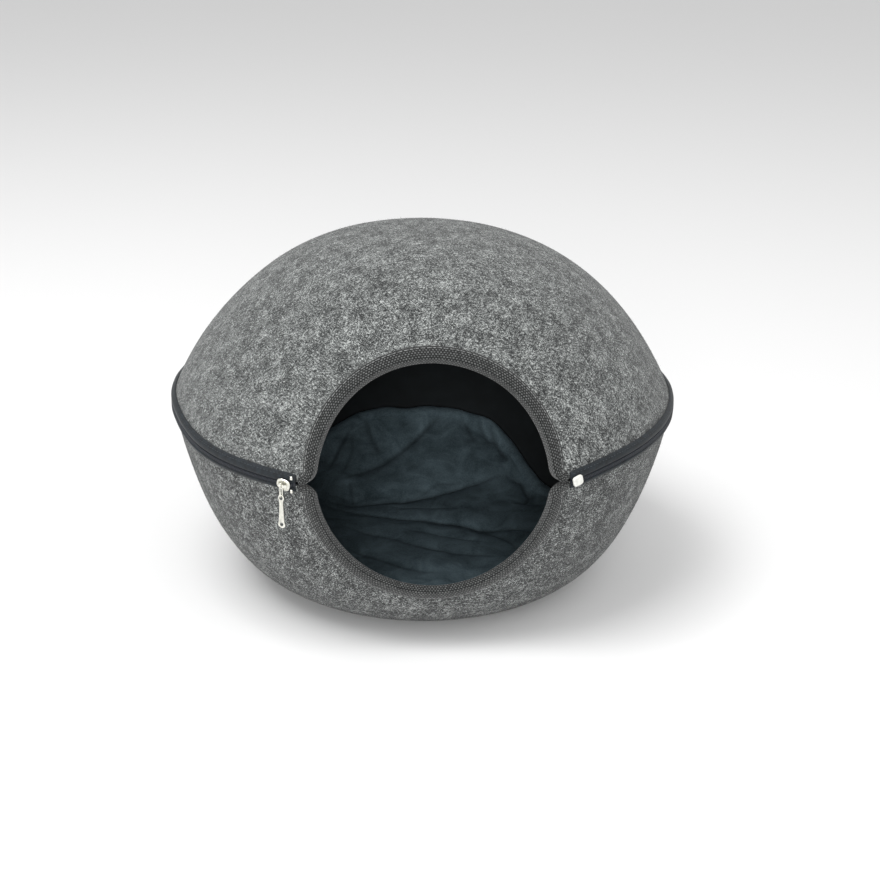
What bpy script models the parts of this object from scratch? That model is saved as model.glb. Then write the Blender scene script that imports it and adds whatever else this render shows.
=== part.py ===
"""Felt cat cave: two moulded felt halves joined by a zip, with a round way in at the front.

Metres, +Z up, the front faces -Y. The origin is the middle of the flat base, on the floor.
Angles run round the cave from the front (-Y), growing towards +X.
Each half is described by its meridian, the outline that it would have as a turned form.
A place on a half is an angle, a length along the meridian from the zip, and a distance out
from the outer felt face.
"""
import math

import bmesh
import bpy
import numpy as np

MM = 0.001

# Whole cave
TOTAL_HEIGHT = 0.330
ZIP_HEIGHT = 0.1776            # height of the seam at the back and the sides
SEAM_RADIUS = 0.2321           # outer felt face at the seam

# Dome outline: (r / SEAM_RADIUS)^ROUND + (z / height)^CROWN = 1
DOME_RISE = TOTAL_HEIGHT - ZIP_HEIGHT
DOME_ROUND = 2.496
DOME_CROWN = 1.212

# Bowl outline, the same form upside down, cut flat at the base
BOWL_DEPTH = 0.1873
BOWL_ROUND = 5.008
BOWL_CROWN = 1.224

SEAM_TURN = 25 * MM            # the wall's cross-section turns level over this length

# Layers
FELT = 4.5 * MM
LINING = 1.2 * MM
GAP = 0.4 * MM                 # clear space between neighbouring pieces
WALL = FELT + GAP + LINING     # felt and lining together

# Seam sag: the seam hangs lower towards the way in
# Size, angle and power of each hump of the sag, for the left and the right side
SAG_LEFT = ((14.8 * MM, 1.24, 9), (1.5 * MM, 0.50, 6))
SAG_RIGHT = ((14.5 * MM, 0.98, 2), (4.8 * MM, 0.60, 6))
SAG_BLEND = 0.35

# Way in, as seen from the front
OPEN_HALF_WIDTH = 99.5 * MM
OPEN_UP = 87.3 * MM            # above the seam
OPEN_DOWN = 115.2 * MM         # below the seam
LIP = 0.7 * MM                 # half of the slit between the two halves
CORNER = 12.0 * MM             # rounding where the edge turns into the seam

# Binding: a knitted tape folded over the edge of the way in
TAPE = 1.0 * MM
BIND_WIDTH = 11.5 * MM
BIND_CORNER_WIDTH = 7.2 * MM
BIND_CORNER_END = 30 * MM      # the tape has its full width this far along the edge
EDGE_INSET = TAPE + 0.4 * MM   # felt edge, inside the fold of the tape
ROW_CLEAR = 0.6 * MM           # first mesh row of the felt, past the tape's edge
FOLD_ROUND = 0.6 * MM
BACK_SLACK = 0.5 * MM          # more clear space behind the lining, inside the tape's fold

# Mesh steps
CORNER_STEPS = 4
ARCH_STEPS = 8
SEAM_STEPS = 36
DOME_ROWS = (0.24, 0.47, 0.69, 0.87)
BOWL_ROWS = (0.32, 0.58, 0.78, 0.92)
CUSHION_COLUMNS = 38

# Zip
ZIP_END = math.radians(29.4)

# Cushion
CUSHION_FLOOR = 7.0 * MM
CUSHION_SIDE = 9.0 * MM        # cushion side, in from the outer felt face
CUSHION_MIDDLE = 29.0 * MM     # height of the top in the middle
CUSHION_RIM = 34.0 * MM
CUSHION_BACK_RISE = 52.0 * MM
CUSHION_BACK_ANGLE = math.radians(38.0)
CUSHION_FLAT = 0.055           # radius of the nearly level middle
CUSHION_TURN = 1.8
RIM_HALF = 8.0 * MM
RIM_DROP = 6.0 * MM

# Slider, pull and the small fittings
SLIDER_ANGLE = math.radians(-31.6)
SLIDER_TILT = math.radians(12.0)
SLIDER_LONG = 13.0 * MM
SLIDER_TALL = 9.6 * MM
SLIDER_PLATE = 1.8 * MM
SLIDER_FACE = 236.0 * MM       # radius of the slider's back face
BRIDGE_WIDE = 2.6 * MM
BRIDGE_THICK = 1.0 * MM
BRIDGE_CLEAR = 2.1 * MM
LINK_WIRE = 0.55 * MM
LINK_TOP = 2.3 * MM
LINK_BOTTOM = -10.1 * MM
PULL_THICK = 1.0 * MM
BOX_ANGLE = math.radians(30.5)


class Meridian:
    """One half's outline, from the seam to its pole."""

    def __init__(self, height, round_power, crown_power, side, cut=None, count=600):
        self.side = side
        top = math.pi / 2 if cut is None else math.asin((cut / height) ** (crown_power / 2))
        turn = np.linspace(0.0, top, count)
        radius = SEAM_RADIUS * np.cos(turn) ** (2 / round_power)
        rise = height * np.sin(turn) ** (2 / crown_power)
        normal_r, normal_z = self.normals(radius, rise)
        if cut is None:
            radius[-1] = 0.0
            normal_r[-1], normal_z[-1] = 0.0, 1.0
            self.base = None
        else:
            slope = math.atan2(normal_z[-1], normal_r[-1])
            normal_r[-1] = math.tan((math.pi / 2 - slope) / 2)
            normal_z[-1] = 1.0
            flat = np.linspace(radius[-1], 0.0, count)[1:]
            radius = np.append(radius, flat)
            rise = np.append(rise, np.full(count - 1, cut))
            normal_r = np.append(normal_r, np.zeros(count - 1))
            normal_z = np.append(normal_z, np.ones(count - 1))
        steps = np.hypot(np.diff(radius), np.diff(rise))
        self.length = np.append(0.0, np.cumsum(steps))
        # At the seam the wall is measured level, so that the two halves meet without crossing
        tilt = normal_z * np.minimum(1.0, self.length / SEAM_TURN)
        seam = self.length < SEAM_TURN
        normal_r[seam] = (1.0 - tilt[seam] * normal_z[seam]) / normal_r[seam]
        normal_z[seam] = tilt[seam]
        if cut is not None:
            self.base = float(self.length[count - 1])
        self.radius, self.rise = radius, rise
        self.normal_r, self.normal_z = normal_r, normal_z
        self.height = float(rise[-1])
        self.total = float(self.length[-1])

    @staticmethod
    def normals(radius, rise):
        run_r, run_z = np.gradient(radius), np.gradient(rise)
        size = np.hypot(run_r, run_z)
        return run_z / size, -run_r / size

    def at(self, length, out=0.0):
        """Radius and signed height at a length from the seam, a distance out."""
        read = [np.interp(length, self.length, row)
                for row in (self.radius, self.rise, self.normal_r, self.normal_z)]
        return read[0] + out * read[2], self.side * (read[1] + out * read[3])

    def length_at(self, rise):
        count = int(np.argmax(self.rise >= self.height - 1e-9)) + 1
        return float(np.interp(rise, self.rise[:count], self.length[:count]))

    def radius_at(self, rise):
        return float(self.at(self.length_at(rise))[0])


def sag(angle):
    """How far the seam hangs below its height at the back; the left side hangs further."""
    turn = math.remainder(angle, 2 * math.pi)
    left, right = (sum(size * math.exp(-((abs(turn) / wide) ** power))
                       for size, wide, power in humps) for humps in (SAG_LEFT, SAG_RIGHT))
    share = min(1.0, max(0.0, 0.5 + turn / (2 * SAG_BLEND)))
    return left + (right - left) * share * share * (3 - 2 * share)


def settle(angle, radius, height):
    """World place of a point given by angle, radius and height from the seam."""
    reach = DOME.height if height > 0 else BOWL.height
    share = max(0.0, 1.0 - abs(height) / reach)
    z = ZIP_HEIGHT + height - sag(angle) * share * share
    return (radius * math.sin(angle), -radius * math.cos(angle), z)


DOME = Meridian(DOME_RISE, DOME_ROUND, DOME_CROWN, 1)
BOWL = Meridian(BOWL_DEPTH, BOWL_ROUND, BOWL_CROWN, -1, cut=ZIP_HEIGHT)


def spaced(points, cuts):
    """Pick points on a dense line at the given shares of its length."""
    steps = np.hypot(*np.diff(points, axis=0).T)
    along = np.append(0.0, np.cumsum(steps))
    want = np.array(cuts) * along[-1]
    return np.stack([np.interp(want, along, points[:, k]) for k in (0, 1)], axis=1)


def edge_loop(half):
    """Edge of one half as rows of angle and length, from the left corner, over the way in,
    to the right corner and round the back. Also the tape's width at each row."""
    reach = OPEN_UP if half.side > 0 else OPEN_DOWN
    rise = LIP + (reach - LIP) * np.linspace(0, 1, 2000) ** 1.6
    wide = OPEN_HALF_WIDTH * np.sqrt(np.maximum(0, 1 - (rise / reach) ** 2))
    low = np.maximum(0.0, 1 - (rise - LIP) / CORNER)
    wide = wide + CORNER * (1 - np.sqrt(np.maximum(0, 1 - low ** 2)))
    line = np.stack([wide, rise], axis=1)
    total = float(np.hypot(*np.diff(line, axis=0).T).sum())
    turn_share = 1.55 * CORNER / total
    cuts = [turn_share * k / CORNER_STEPS for k in range(CORNER_STEPS)]
    cuts += [turn_share + (1 - turn_share) * k / ARCH_STEPS for k in range(ARCH_STEPS + 1)]
    right = spaced(line, cuts)
    loop = []
    for (x, z), cut in zip(right, cuts):
        share = min(1.0, cut * total / BIND_CORNER_END)
        tape = BIND_CORNER_WIDTH + (BIND_WIDTH - BIND_CORNER_WIDTH) * share
        loop.append([math.asin(x / half.radius_at(z)), half.length_at(z), tape])
    left = [[-a, s, t] for a, s, t in loop]
    opening = left + loop[-2::-1]
    start = loop[0][0]
    seam = [[start + (2 * math.pi - 2 * start) * k / SEAM_STEPS, loop[0][1], BIND_CORNER_WIDTH]
            for k in range(1, SEAM_STEPS)]
    return np.array(opening + seam), len(opening)


def edge_sides(half, loop):
    """Unit direction from the edge into the felt, at each row of the loop."""
    turned = loop.copy()
    turned[:, 0] += 2 * math.pi
    back = loop.copy()
    back[:, 0] -= 2 * math.pi
    before = np.vstack([back[-1:], loop[:-1]])
    after = np.vstack([loop[1:], turned[:1]])
    radius = np.array([half.at(s)[0] for s in loop[:, 1]])
    step = np.stack([(after[:, 0] - before[:, 0]) * radius, after[:, 1] - before[:, 1]], axis=1)
    step /= np.linalg.norm(step, axis=1)[:, None]
    return np.stack([-step[:, 1], step[:, 0]], axis=1), radius


def inset(half, loop, distance):
    """Angle and length of the loop moved into the felt by a distance at each row."""
    sides, radius = edge_sides(half, loop)
    return np.stack([loop[:, 0] + sides[:, 0] * distance / radius,
                     loop[:, 1] + sides[:, 1] * distance], axis=1)


def shell_rows(half, edge):
    """Rows of angle and length that cover one half, from its edge towards the pole."""
    loop, _ = edge_loop(half)
    first = inset(half, loop, edge)
    second = inset(half, loop, loop[:, 2] + ROW_CLEAR)
    share = np.arange(len(loop)) / len(loop)
    arch = int(np.argmin(np.abs(loop[:, 0])))
    polar = (share - share[arch]) * 2 * math.pi
    rows = [first, second]
    end = half.total if half.base is None else half.base
    for part in (DOME_ROWS if half.base is None else BOWL_ROWS + (1.0,)):
        angle = second[:, 0] + (polar - second[:, 0]) * part
        rows.append(np.stack([angle, second[:, 1] + (end - second[:, 1]) * part], axis=1))
    return rows


def new_object(name, points, faces, material, smooth=True):
    mesh = bpy.data.meshes.new(name)
    mesh.from_pydata(points, [], faces)
    work = bmesh.new()
    work.from_mesh(mesh)
    bmesh.ops.recalc_face_normals(work, faces=work.faces)
    work.to_mesh(mesh)
    work.free()
    mesh.materials.append(material)
    made = bpy.data.objects.new(name, mesh)
    bpy.context.scene.collection.objects.link(made)
    if smooth:
        mesh.shade_smooth()
        mesh.set_sharp_from_angle(angle=math.radians(40))
    return made


def make_shell(name, half, outer, inner, material):
    """A wall of one half, between two distances out from the outer felt face."""
    rows = shell_rows(half, EDGE_INSET)
    count = len(rows[0])
    points, faces = [], []
    for out in (outer, inner):
        for row in rows:
            for angle, length in row:
                radius, height = half.at(length, out)
                points.append(settle(angle, radius, height))
        radius, height = half.at(half.total, out)
        points.append(settle(0.0, 0.0, height))
    layer = len(rows) * count + 1
    for base in (0, layer):
        for k in range(len(rows) - 1):
            for j in range(count):
                n = (j + 1) % count
                a, b = base + k * count, base + (k + 1) * count
                faces += [(a + j, a + n, b + n), (a + j, b + n, b + j)]
        last = base + (len(rows) - 1) * count
        faces += [(last + j, last + (j + 1) % count, base + layer - 1) for j in range(count)]
    faces += [(j, layer + j, layer + (j + 1) % count, (j + 1) % count) for j in range(count)]
    return new_object(name, points, faces, material)


def make_sweep(name, sections, material, closed=False, turned=None):
    """A solid through equal closed outlines, one after another. Where turned is given, faces
    are triangles, and those sides of the outline are split along the other diagonal."""
    size = len(sections[0])
    points = [p for section in sections for p in section]
    faces = []
    spans = len(sections) if closed else len(sections) - 1
    for k in range(spans):
        a, b = k * size, ((k + 1) % len(sections)) * size
        for i in range(size):
            n = (i + 1) % size
            if turned is None:
                faces.append((a + i, a + n, b + n, b + i))
            elif i in turned:
                faces += [(a + i, a + n, b + i), (a + n, b + n, b + i)]
            else:
                faces += [(a + i, a + n, b + n), (a + i, b + n, b + i)]
    if not closed:
        faces.append(tuple(range(size)))
        faces.append(tuple(range(len(points) - 1, len(points) - 1 - size, -1)))
    return new_object(name, points, faces, material)


def make_binding(name, half, material):
    """Tape folded over the edge of the way in, along one half, corner to corner."""
    loop, count = edge_loop(half)
    outer, back = GAP + TAPE, -WALL - GAP - BACK_SLACK
    inner = back - TAPE
    sides, radius = edge_sides(half, loop)
    sections = []
    for j in range(count):
        tape = loop[j, 2]
        outline = [(tape, GAP), (tape, outer), (FOLD_ROUND, outer), (0.0, outer - FOLD_ROUND),
                   (0.0, inner + FOLD_ROUND), (FOLD_ROUND, inner), (tape, inner),
                   (tape, back), (TAPE, back), (TAPE, GAP)]
        section = []
        for into, out in outline:
            angle = loop[j, 0] + sides[j, 0] * into / radius[j]
            r, z = half.at(loop[j, 1] + sides[j, 1] * into, out)
            section.append(settle(angle, r, z))
        sections.append(section)
    return make_sweep(name, sections, material, turned=(0, 1, 6, 7))


def make_ring(name, outline, material):
    """A band round the back, from one side of the way in to the other."""
    turn = 2 * math.pi - 2 * ZIP_END
    angles = [ZIP_END + turn * k / SEAM_STEPS for k in range(SEAM_STEPS + 1)]
    sections = [[settle(angle, r, z) for r, z in outline] for angle in angles]
    return make_sweep(name, sections, material)


def near(half, height, out):
    """Outline point a distance outside the felt, at a height from the seam."""
    return (half.radius_at(abs(height)) + out, height)


def zip_outlines():
    """Cross-sections of the upper tape, the chain of coils and the lower tape."""
    stand, hem = 0.5 * MM, 2.0 * MM
    upper = [near(DOME, 6.8 * MM, stand), near(DOME, 7.1 * MM, hem), (234.4 * MM, 4.2 * MM),
             (235.1 * MM, 1.6 * MM), (234.6 * MM, 0.4 * MM), (233.2 * MM, 0.4 * MM),
             near(DOME, 3.6 * MM, stand)]
    chain = [(232.8 * MM, -0.9 * MM), (233.5 * MM, -0.2 * MM), (234.5 * MM, -0.2 * MM),
             (235.1 * MM, -0.9 * MM), (235.1 * MM, -2.5 * MM), (234.5 * MM, -3.2 * MM),
             (233.5 * MM, -3.2 * MM), (232.8 * MM, -2.5 * MM)]
    lower = [(233.2 * MM, -3.7 * MM), (234.5 * MM, -3.7 * MM), (235.0 * MM, -4.9 * MM),
             (234.3 * MM, -6.8 * MM), near(BOWL, -7.9 * MM, hem), near(BOWL, -7.6 * MM, stand),
             near(BOWL, -5.4 * MM, stand)]
    return upper, chain, lower


def rim_height(angle):
    """Height of the cushion's edge: it stands up against the back wall."""
    back = abs(math.remainder(angle - math.pi, 2 * math.pi))
    return CUSHION_RIM + CUSHION_BACK_RISE * math.exp(-((back / CUSHION_BACK_ANGLE) ** 4))


def inside_bowl(height, depth):
    """Radius, at a height from the floor, of the bowl moved inwards by a depth."""
    radius, rise = BOWL.at(np.linspace(0.0, BOWL.base, 400), -depth)
    return float(np.interp(height, (ZIP_HEIGHT + rise)[::-1], radius[::-1]))


def make_cushion(name, material):
    """A slack round pad: flat below, dished above, its sides following the bowl."""
    outlines = []
    for j in range(CUSHION_COLUMNS):
        angle = 2 * math.pi * j / CUSHION_COLUMNS
        rim = rim_height(angle)
        side_low, side_high = CUSHION_FLOOR + 5 * MM, rim - RIM_DROP
        side = []
        for share in (0.0, 0.35, 0.7, 1.0):
            height = side_low + (side_high - side_low) * share
            side.append((inside_bowl(height, CUSHION_SIDE), height))
        foot = (side[0][0] - 9 * MM, CUSHION_FLOOR)
        crest = side[-1][0] - RIM_HALF
        inner = crest - RIM_HALF
        line = [(foot[0] * 0.55, CUSHION_FLOOR), foot] + side + [(crest, rim)]
        for share in (1.0, 0.8, 0.6, 0.4, 0.2, 0.0):
            r = CUSHION_FLAT + (inner - CUSHION_FLAT) * share
            lift = (side_high - CUSHION_MIDDLE) * share ** CUSHION_TURN
            line.append((r, CUSHION_MIDDLE + lift))
        outlines.append([(angle, r, z) for r, z in line])
    size = len(outlines[0])
    points = [(r * math.sin(a), -r * math.cos(a), z) for row in outlines for a, r, z in row]
    bottom, top = len(points), len(points) + 1
    points += [(0.0, 0.0, CUSHION_FLOOR), (0.0, 0.0, CUSHION_MIDDLE - 0.5 * MM)]
    faces = []
    for j in range(CUSHION_COLUMNS):
        a, b = j * size, ((j + 1) % CUSHION_COLUMNS) * size
        faces += [(a + i, b + i, b + i + 1, a + i + 1) for i in range(size - 1)]
        faces += [(a, b, bottom), (a + size - 1, b + size - 1, top)]
    return new_object(name, points, faces, material)


class Fitting:
    """A frame on the seam: along it, out from it and up it, about one point."""

    def __init__(self, angle, radius, height, tilt=0.0):
        out = np.array([math.sin(angle), -math.cos(angle), 0.0])
        along = np.array([math.cos(angle), math.sin(angle), 0.0])
        up = np.array([0.0, 0.0, 1.0])
        self.out = out
        self.along = along * math.cos(tilt) - up * math.sin(tilt)
        self.up = up * math.cos(tilt) + along * math.sin(tilt)
        self.origin = np.array(settle(angle, radius, height))

    def point(self, along, out, up):
        return tuple(self.origin + self.along * along + self.out * out + self.up * up)


def plate(name, frame, outline, back, front, bevel, material):
    """A flat plate with softened edges, from its outline along and up."""
    middle = np.mean(np.array(outline), axis=0)
    rings = []
    for out, shrink in ((back, bevel), (back + bevel, 0.0), (front - bevel, 0.0), (front, bevel)):
        ring = []
        for along, up in outline:
            away = np.array([along, up]) - middle
            size = max(float(np.hypot(*away)), 1e-9)
            spot = middle + away * (1 - shrink / size)
            ring.append(frame.point(spot[0], out, spot[1]))
        rings.append(ring)
    return make_sweep(name, rings, material)


def make_slider(frame, material):
    """Zip slider: a shield-shaped body with a bridge for the pull, as one casting."""
    outline = []
    for k in range(28):
        turn = 2 * math.pi * k / 28
        wide = 0.5 + 0.06 * math.cos(turn)
        power = 0.72
        along = math.copysign(abs(math.cos(turn)) ** power, math.cos(turn)) * SLIDER_LONG / 2
        up = math.copysign(abs(math.sin(turn)) ** power, math.sin(turn)) * SLIDER_TALL * wide
        outline.append((along, up))
    body = plate("slider", frame, outline, 0.0, SLIDER_PLATE, 0.45 * MM, material)
    rings = []
    for k in range(15):
        share = -1 + 2 * k / 14
        along = share * 4.3 * MM
        mid = BRIDGE_CLEAR + BRIDGE_THICK / 2
        out = SLIDER_PLATE - 0.6 * MM + (mid + 0.6 * MM) * (1 - abs(share) ** 3.2)
        slope = math.atan(-(mid + 0.6 * MM) * 3.2 * abs(share) ** 2.2
                          * math.copysign(1, share) / (4.3 * MM))
        ring = []
        for up, thick in ((1, 1), (-1, 1), (-1, -1), (1, -1)):
            t = thick * BRIDGE_THICK / 2
            ring.append(frame.point(along - t * math.sin(slope), out + t * math.cos(slope),
                                    up * BRIDGE_WIDE / 2))
        rings.append(ring)
    bridge = make_sweep("slider_bridge_form", rings, material)
    bridge.hide_render = True
    bridge.display_type = "WIRE"
    join = body.modifiers.new("bridge", "BOOLEAN")
    join.operation = "UNION"
    join.solver = "EXACT"
    join.object = bridge
    return body


def make_link(frame, material):
    """Wire link between the slider's bridge and the pull, hanging across the seam."""
    centre_out = SLIDER_PLATE + BRIDGE_CLEAR + BRIDGE_THICK / 2
    half_out = 2.2 * MM - LINK_WIRE
    middle = (LINK_TOP + LINK_BOTTOM) / 2
    half_up = (LINK_TOP - LINK_BOTTOM) / 2
    rings = []
    count, sides = 28, 8
    for k in range(count):
        turn = 2 * math.pi * k / count
        straight = half_up - half_out
        up = middle + half_out * math.sin(turn) + math.copysign(straight, math.sin(turn + 1e-9))
        out = centre_out + half_out * math.cos(turn)
        ring = []
        for i in range(sides):
            spin = 2 * math.pi * i / sides
            swell = LINK_WIRE * math.cos(spin)
            ring.append(frame.point(LINK_WIRE * math.sin(spin), out + swell * math.cos(turn),
                                    up + swell * math.sin(turn)))
        rings.append(ring)
    return make_sweep("pull_link", rings, material, closed=True)


def drilled(name, frame, outline, holes, back, front, material):
    """A flat plate with round holes, the holes cut through it."""
    made = plate(name, frame, outline, back, front, 0.2 * MM, material)
    for number, (along, up, radius) in enumerate(holes):
        ring = [(along + radius * math.cos(2 * math.pi * k / 20),
                 up + radius * math.sin(2 * math.pi * k / 20)) for k in range(20)]
        spare = 1.5 * MM
        cutter = make_sweep(f"{name}_hole_{number}",
                            [[frame.point(a, out, u) for a, u in ring]
                             for out in (back - spare, front + spare)], material)
        cutter.hide_render = True
        cutter.display_type = "WIRE"
        cut = made.modifiers.new(f"hole_{number}", "BOOLEAN")
        cut.operation = "DIFFERENCE"
        cut.solver = "EXACT"
        cut.object = cutter
    return made


def make_pull(frame, material):
    """Pull: an eye on the link, a tapered bar and a rounded end with an eyelet."""
    head, foot = -10.9 * MM, -34.6 * MM
    head_round, foot_round = 2.9 * MM, 3.4 * MM
    neck, waist = 1.7 * MM, 2.4 * MM
    outline = []
    for k in range(13):
        turn = math.radians(-38 + 256 * k / 12)
        outline.append((head_round * math.cos(turn), head + head_round * math.sin(turn)))
    outline += [(-neck, head - 4.4 * MM), (-waist, foot + 5.0 * MM)]
    for k in range(13):
        turn = math.radians(145 + 250 * k / 12)
        outline.append((foot_round * math.cos(turn), foot + foot_round * math.sin(turn)))
    outline += [(waist, foot + 5.0 * MM), (neck, head - 4.4 * MM)]
    middle = SLIDER_PLATE + BRIDGE_CLEAR + BRIDGE_THICK / 2
    holes = [(0.0, head, 1.75 * MM), (0.0, foot, 1.7 * MM)]
    return drilled("pull", frame, outline, holes, middle - PULL_THICK / 2,
                   middle + PULL_THICK / 2, material)


def make_block(name, frame, wide, tall, deep, material):
    """A small crimped metal or moulded block with softened edges."""
    outline = []
    for k in range(20):
        turn = 2 * math.pi * (k + 0.5) / 20
        along = math.copysign(abs(math.cos(turn)) ** 0.45, math.cos(turn)) * wide / 2
        up = math.copysign(abs(math.sin(turn)) ** 0.45, math.sin(turn)) * tall / 2
        outline.append((along, up))
    return plate(name, frame, outline, 0.0, deep, min(wide, tall, deep) * 0.2, material)


def make_material(name, colour, roughness, metallic=0.0):
    made = bpy.data.materials.new(name)
    made.use_nodes = True
    shader = made.node_tree.nodes["Principled BSDF"]
    shader.inputs["Base Color"].default_value = (*colour, 1.0)
    shader.inputs["Roughness"].default_value = roughness
    shader.inputs["Metallic"].default_value = metallic
    made.diffuse_color = (*colour, 1.0)
    return made


def main():
    for old in list(bpy.data.objects):
        bpy.data.objects.remove(old, do_unlink=True)
    felt = make_material("felt", (0.17, 0.17, 0.165), 0.95)
    cloth = make_material("lining_cloth", (0.022, 0.027, 0.033), 0.9)
    plush = make_material("cushion_cloth", (0.028, 0.036, 0.045), 0.85)
    knit = make_material("binding_tape", (0.12, 0.12, 0.12), 0.85)
    woven = make_material("zip_tape", (0.045, 0.055, 0.068), 0.8)
    coil = make_material("zip_coil", (0.02, 0.025, 0.032), 0.5)
    nickel = make_material("nickel", (0.78, 0.77, 0.73), 0.25, 1.0)
    moulded = make_material("retainer_plastic", (0.8, 0.8, 0.78), 0.4)

    make_shell("felt_bowl", BOWL, 0.0, -FELT, felt)
    make_shell("felt_dome", DOME, 0.0, -FELT, felt)
    make_shell("bowl_lining", BOWL, -FELT - GAP, -WALL, cloth)
    make_shell("dome_lining", DOME, -FELT - GAP, -WALL, cloth)
    make_cushion("cushion", plush)
    make_binding("dome_binding", DOME, knit)
    make_binding("bowl_binding", BOWL, knit)

    upper, chain, lower = zip_outlines()
    make_ring("zip_tape_upper", upper, woven)
    make_ring("zip_tape_lower", lower, woven)
    make_ring("zip_chain", chain, coil)

    slider_frame = Fitting(SLIDER_ANGLE, SLIDER_FACE, -0.2 * MM, SLIDER_TILT)
    hang_frame = Fitting(SLIDER_ANGLE, SLIDER_FACE, -0.2 * MM)
    make_slider(slider_frame, nickel)
    make_link(hang_frame, nickel)
    make_pull(hang_frame, nickel)
    for name, height in (("stop_upper", 5.8 * MM), ("stop_lower", -5.8 * MM)):
        frame = Fitting(-ZIP_END - math.radians(0.3), SLIDER_FACE, height)
        make_block(name, frame, 2.2 * MM, 3.2 * MM, 1.6 * MM, nickel)
    box_frame = Fitting(BOX_ANGLE, SLIDER_FACE - 0.2 * MM, 0.6 * MM, math.radians(-14.0))
    make_block("retainer_box", box_frame, 9.6 * MM, 8.6 * MM, 2.6 * MM, moulded)


main()
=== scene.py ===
"""Felt cat cave: two moulded felt halves zipped round the middle, with a bound way in.

Metres, +Z up, the front faces -Y and the origin is the middle of the flat base. Angles run
round the cave from the front, growing towards +X. A place on a half is an angle, a length
along its meridian from the seam, and a distance out from the outer felt face.
"""
import logging
import math
from dataclasses import dataclass, field
from enum import Enum
from typing import Callable, Optional, Sequence

import bpy
import numpy as np
from mathutils import Matrix, Vector


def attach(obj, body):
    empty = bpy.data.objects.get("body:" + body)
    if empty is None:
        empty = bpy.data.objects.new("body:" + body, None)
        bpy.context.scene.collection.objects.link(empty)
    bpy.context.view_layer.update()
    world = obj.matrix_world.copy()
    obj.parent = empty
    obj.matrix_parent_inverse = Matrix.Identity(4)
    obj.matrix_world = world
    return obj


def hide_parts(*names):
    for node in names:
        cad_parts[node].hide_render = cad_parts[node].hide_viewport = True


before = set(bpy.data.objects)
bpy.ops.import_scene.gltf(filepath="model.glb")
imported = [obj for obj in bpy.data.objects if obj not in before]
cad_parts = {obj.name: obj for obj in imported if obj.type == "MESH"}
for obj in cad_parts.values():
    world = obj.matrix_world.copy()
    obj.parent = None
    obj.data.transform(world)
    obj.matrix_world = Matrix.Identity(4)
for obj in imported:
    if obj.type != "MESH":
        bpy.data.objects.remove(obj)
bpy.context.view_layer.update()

MM = 0.001
LOG = logging.getLogger("cave")
Array = np.ndarray
Socket = bpy.types.NodeSocket
Tree = bpy.types.NodeTree


class Side(Enum):
    """Which half of the cave, as the sign of its heights from the seam."""

    DOME = 1
    BOWL = -1


# ---------------------------------------------------------------- shader helpers

def linear(colour: str) -> tuple[float, float, float, float]:
    """Turn an sRGB hex colour into linear RGBA.

    Args:
        colour: Six hex digits.

    Returns:
        The linear colour with an alpha of one.
    """
    parts = [int(colour[k:k + 2], 16) / 255 for k in (0, 2, 4)]
    red, green, blue = (c / 12.92 if c <= 0.04045 else ((c + 0.055) / 1.055) ** 2.4 for c in parts)
    return (red, green, blue, 1.0)


def add(tree: Tree, kind: str, inputs: Optional[dict] = None,
        **settings: object) -> bpy.types.Node:
    """Add a node with its settings, values and links.

    Args:
        tree: The node tree.
        kind: The node's type name.
        inputs: Values or output sockets by input name or number.
        settings: Attributes of the node.

    Returns:
        The new node.
    """
    node = tree.nodes.new(kind)
    for key, value in settings.items():
        setattr(node, key, value)
    for key, value in (inputs or {}).items():
        if isinstance(value, Socket):
            tree.links.new(value, node.inputs[key])
        else:
            node.inputs[key].default_value = value
    return node


def maths(tree: Tree, operation: str, *values: object) -> Socket:
    """One sum on sockets or numbers; returns its result socket."""
    return add(tree, "ShaderNodeMath", dict(enumerate(values)), operation=operation).outputs[0]


def centred(tree: Tree, value: Socket, size: object) -> Socket:
    """Make a value that runs from 0 to 1 swing about zero, as widely as its size says."""
    return maths(tree, "MULTIPLY", maths(tree, "SUBTRACT", value, 0.5), size)


def ridges(tree: Tree, value: Socket) -> Socket:
    """Rounded ridges from 0 to 1, one for each whole step of a value."""
    return maths(tree, "ABSOLUTE", maths(tree, "SINE", maths(tree, "MULTIPLY", value, math.pi)))


def noise(tree: Tree, place: Socket, scale: float, detail: float, roughness: float = 0.5,
          distortion: float = 0.0) -> Socket:
    """A cloudy pattern.

    Args:
        tree: The node tree.
        place: Where it is read.
        scale: Clouds in one unit of place.
        detail: Number of finer layers.
        roughness: Strength of the finer layers.
        distortion: How far the pattern is warped.

    Returns:
        Its value socket, mostly between 0.2 and 0.8.
    """
    return add(tree, "ShaderNodeTexNoise", {
        "Vector": place, "Scale": scale, "Detail": detail, "Roughness": roughness,
        "Distortion": distortion}).outputs["Fac"]


def object_place(tree: Tree) -> Socket:
    """A piece's own coordinates, in metres."""
    return add(tree, "ShaderNodeTexCoord").outputs["Object"]


def cloth_place(tree: Tree) -> tuple[Socket, Socket]:
    """Distances along and across a swept cloth, in metres."""
    flat = add(tree, "ShaderNodeUVMap", uv_map="cloth").outputs["UV"]
    apart = add(tree, "ShaderNodeSeparateXYZ", {"Vector": flat})
    return apart.outputs["X"], apart.outputs["Y"]


def ramp(tree: Tree, value: Socket, stops: Sequence[tuple[float, str]]) -> Socket:
    """Colours along a value.

    Args:
        tree: The node tree.
        value: The socket to colour.
        stops: Places from 0 to 1, each with its sRGB hex colour.

    Returns:
        The colour socket.
    """
    node = add(tree, "ShaderNodeValToRGB", {"Fac": value})
    points = node.color_ramp.elements
    while len(points) < len(stops):
        points.new(0.5)
    for point, (place, colour) in zip(points, stops):
        point.position = place
        point.color = linear(colour)
    return node.outputs["Color"]


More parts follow.
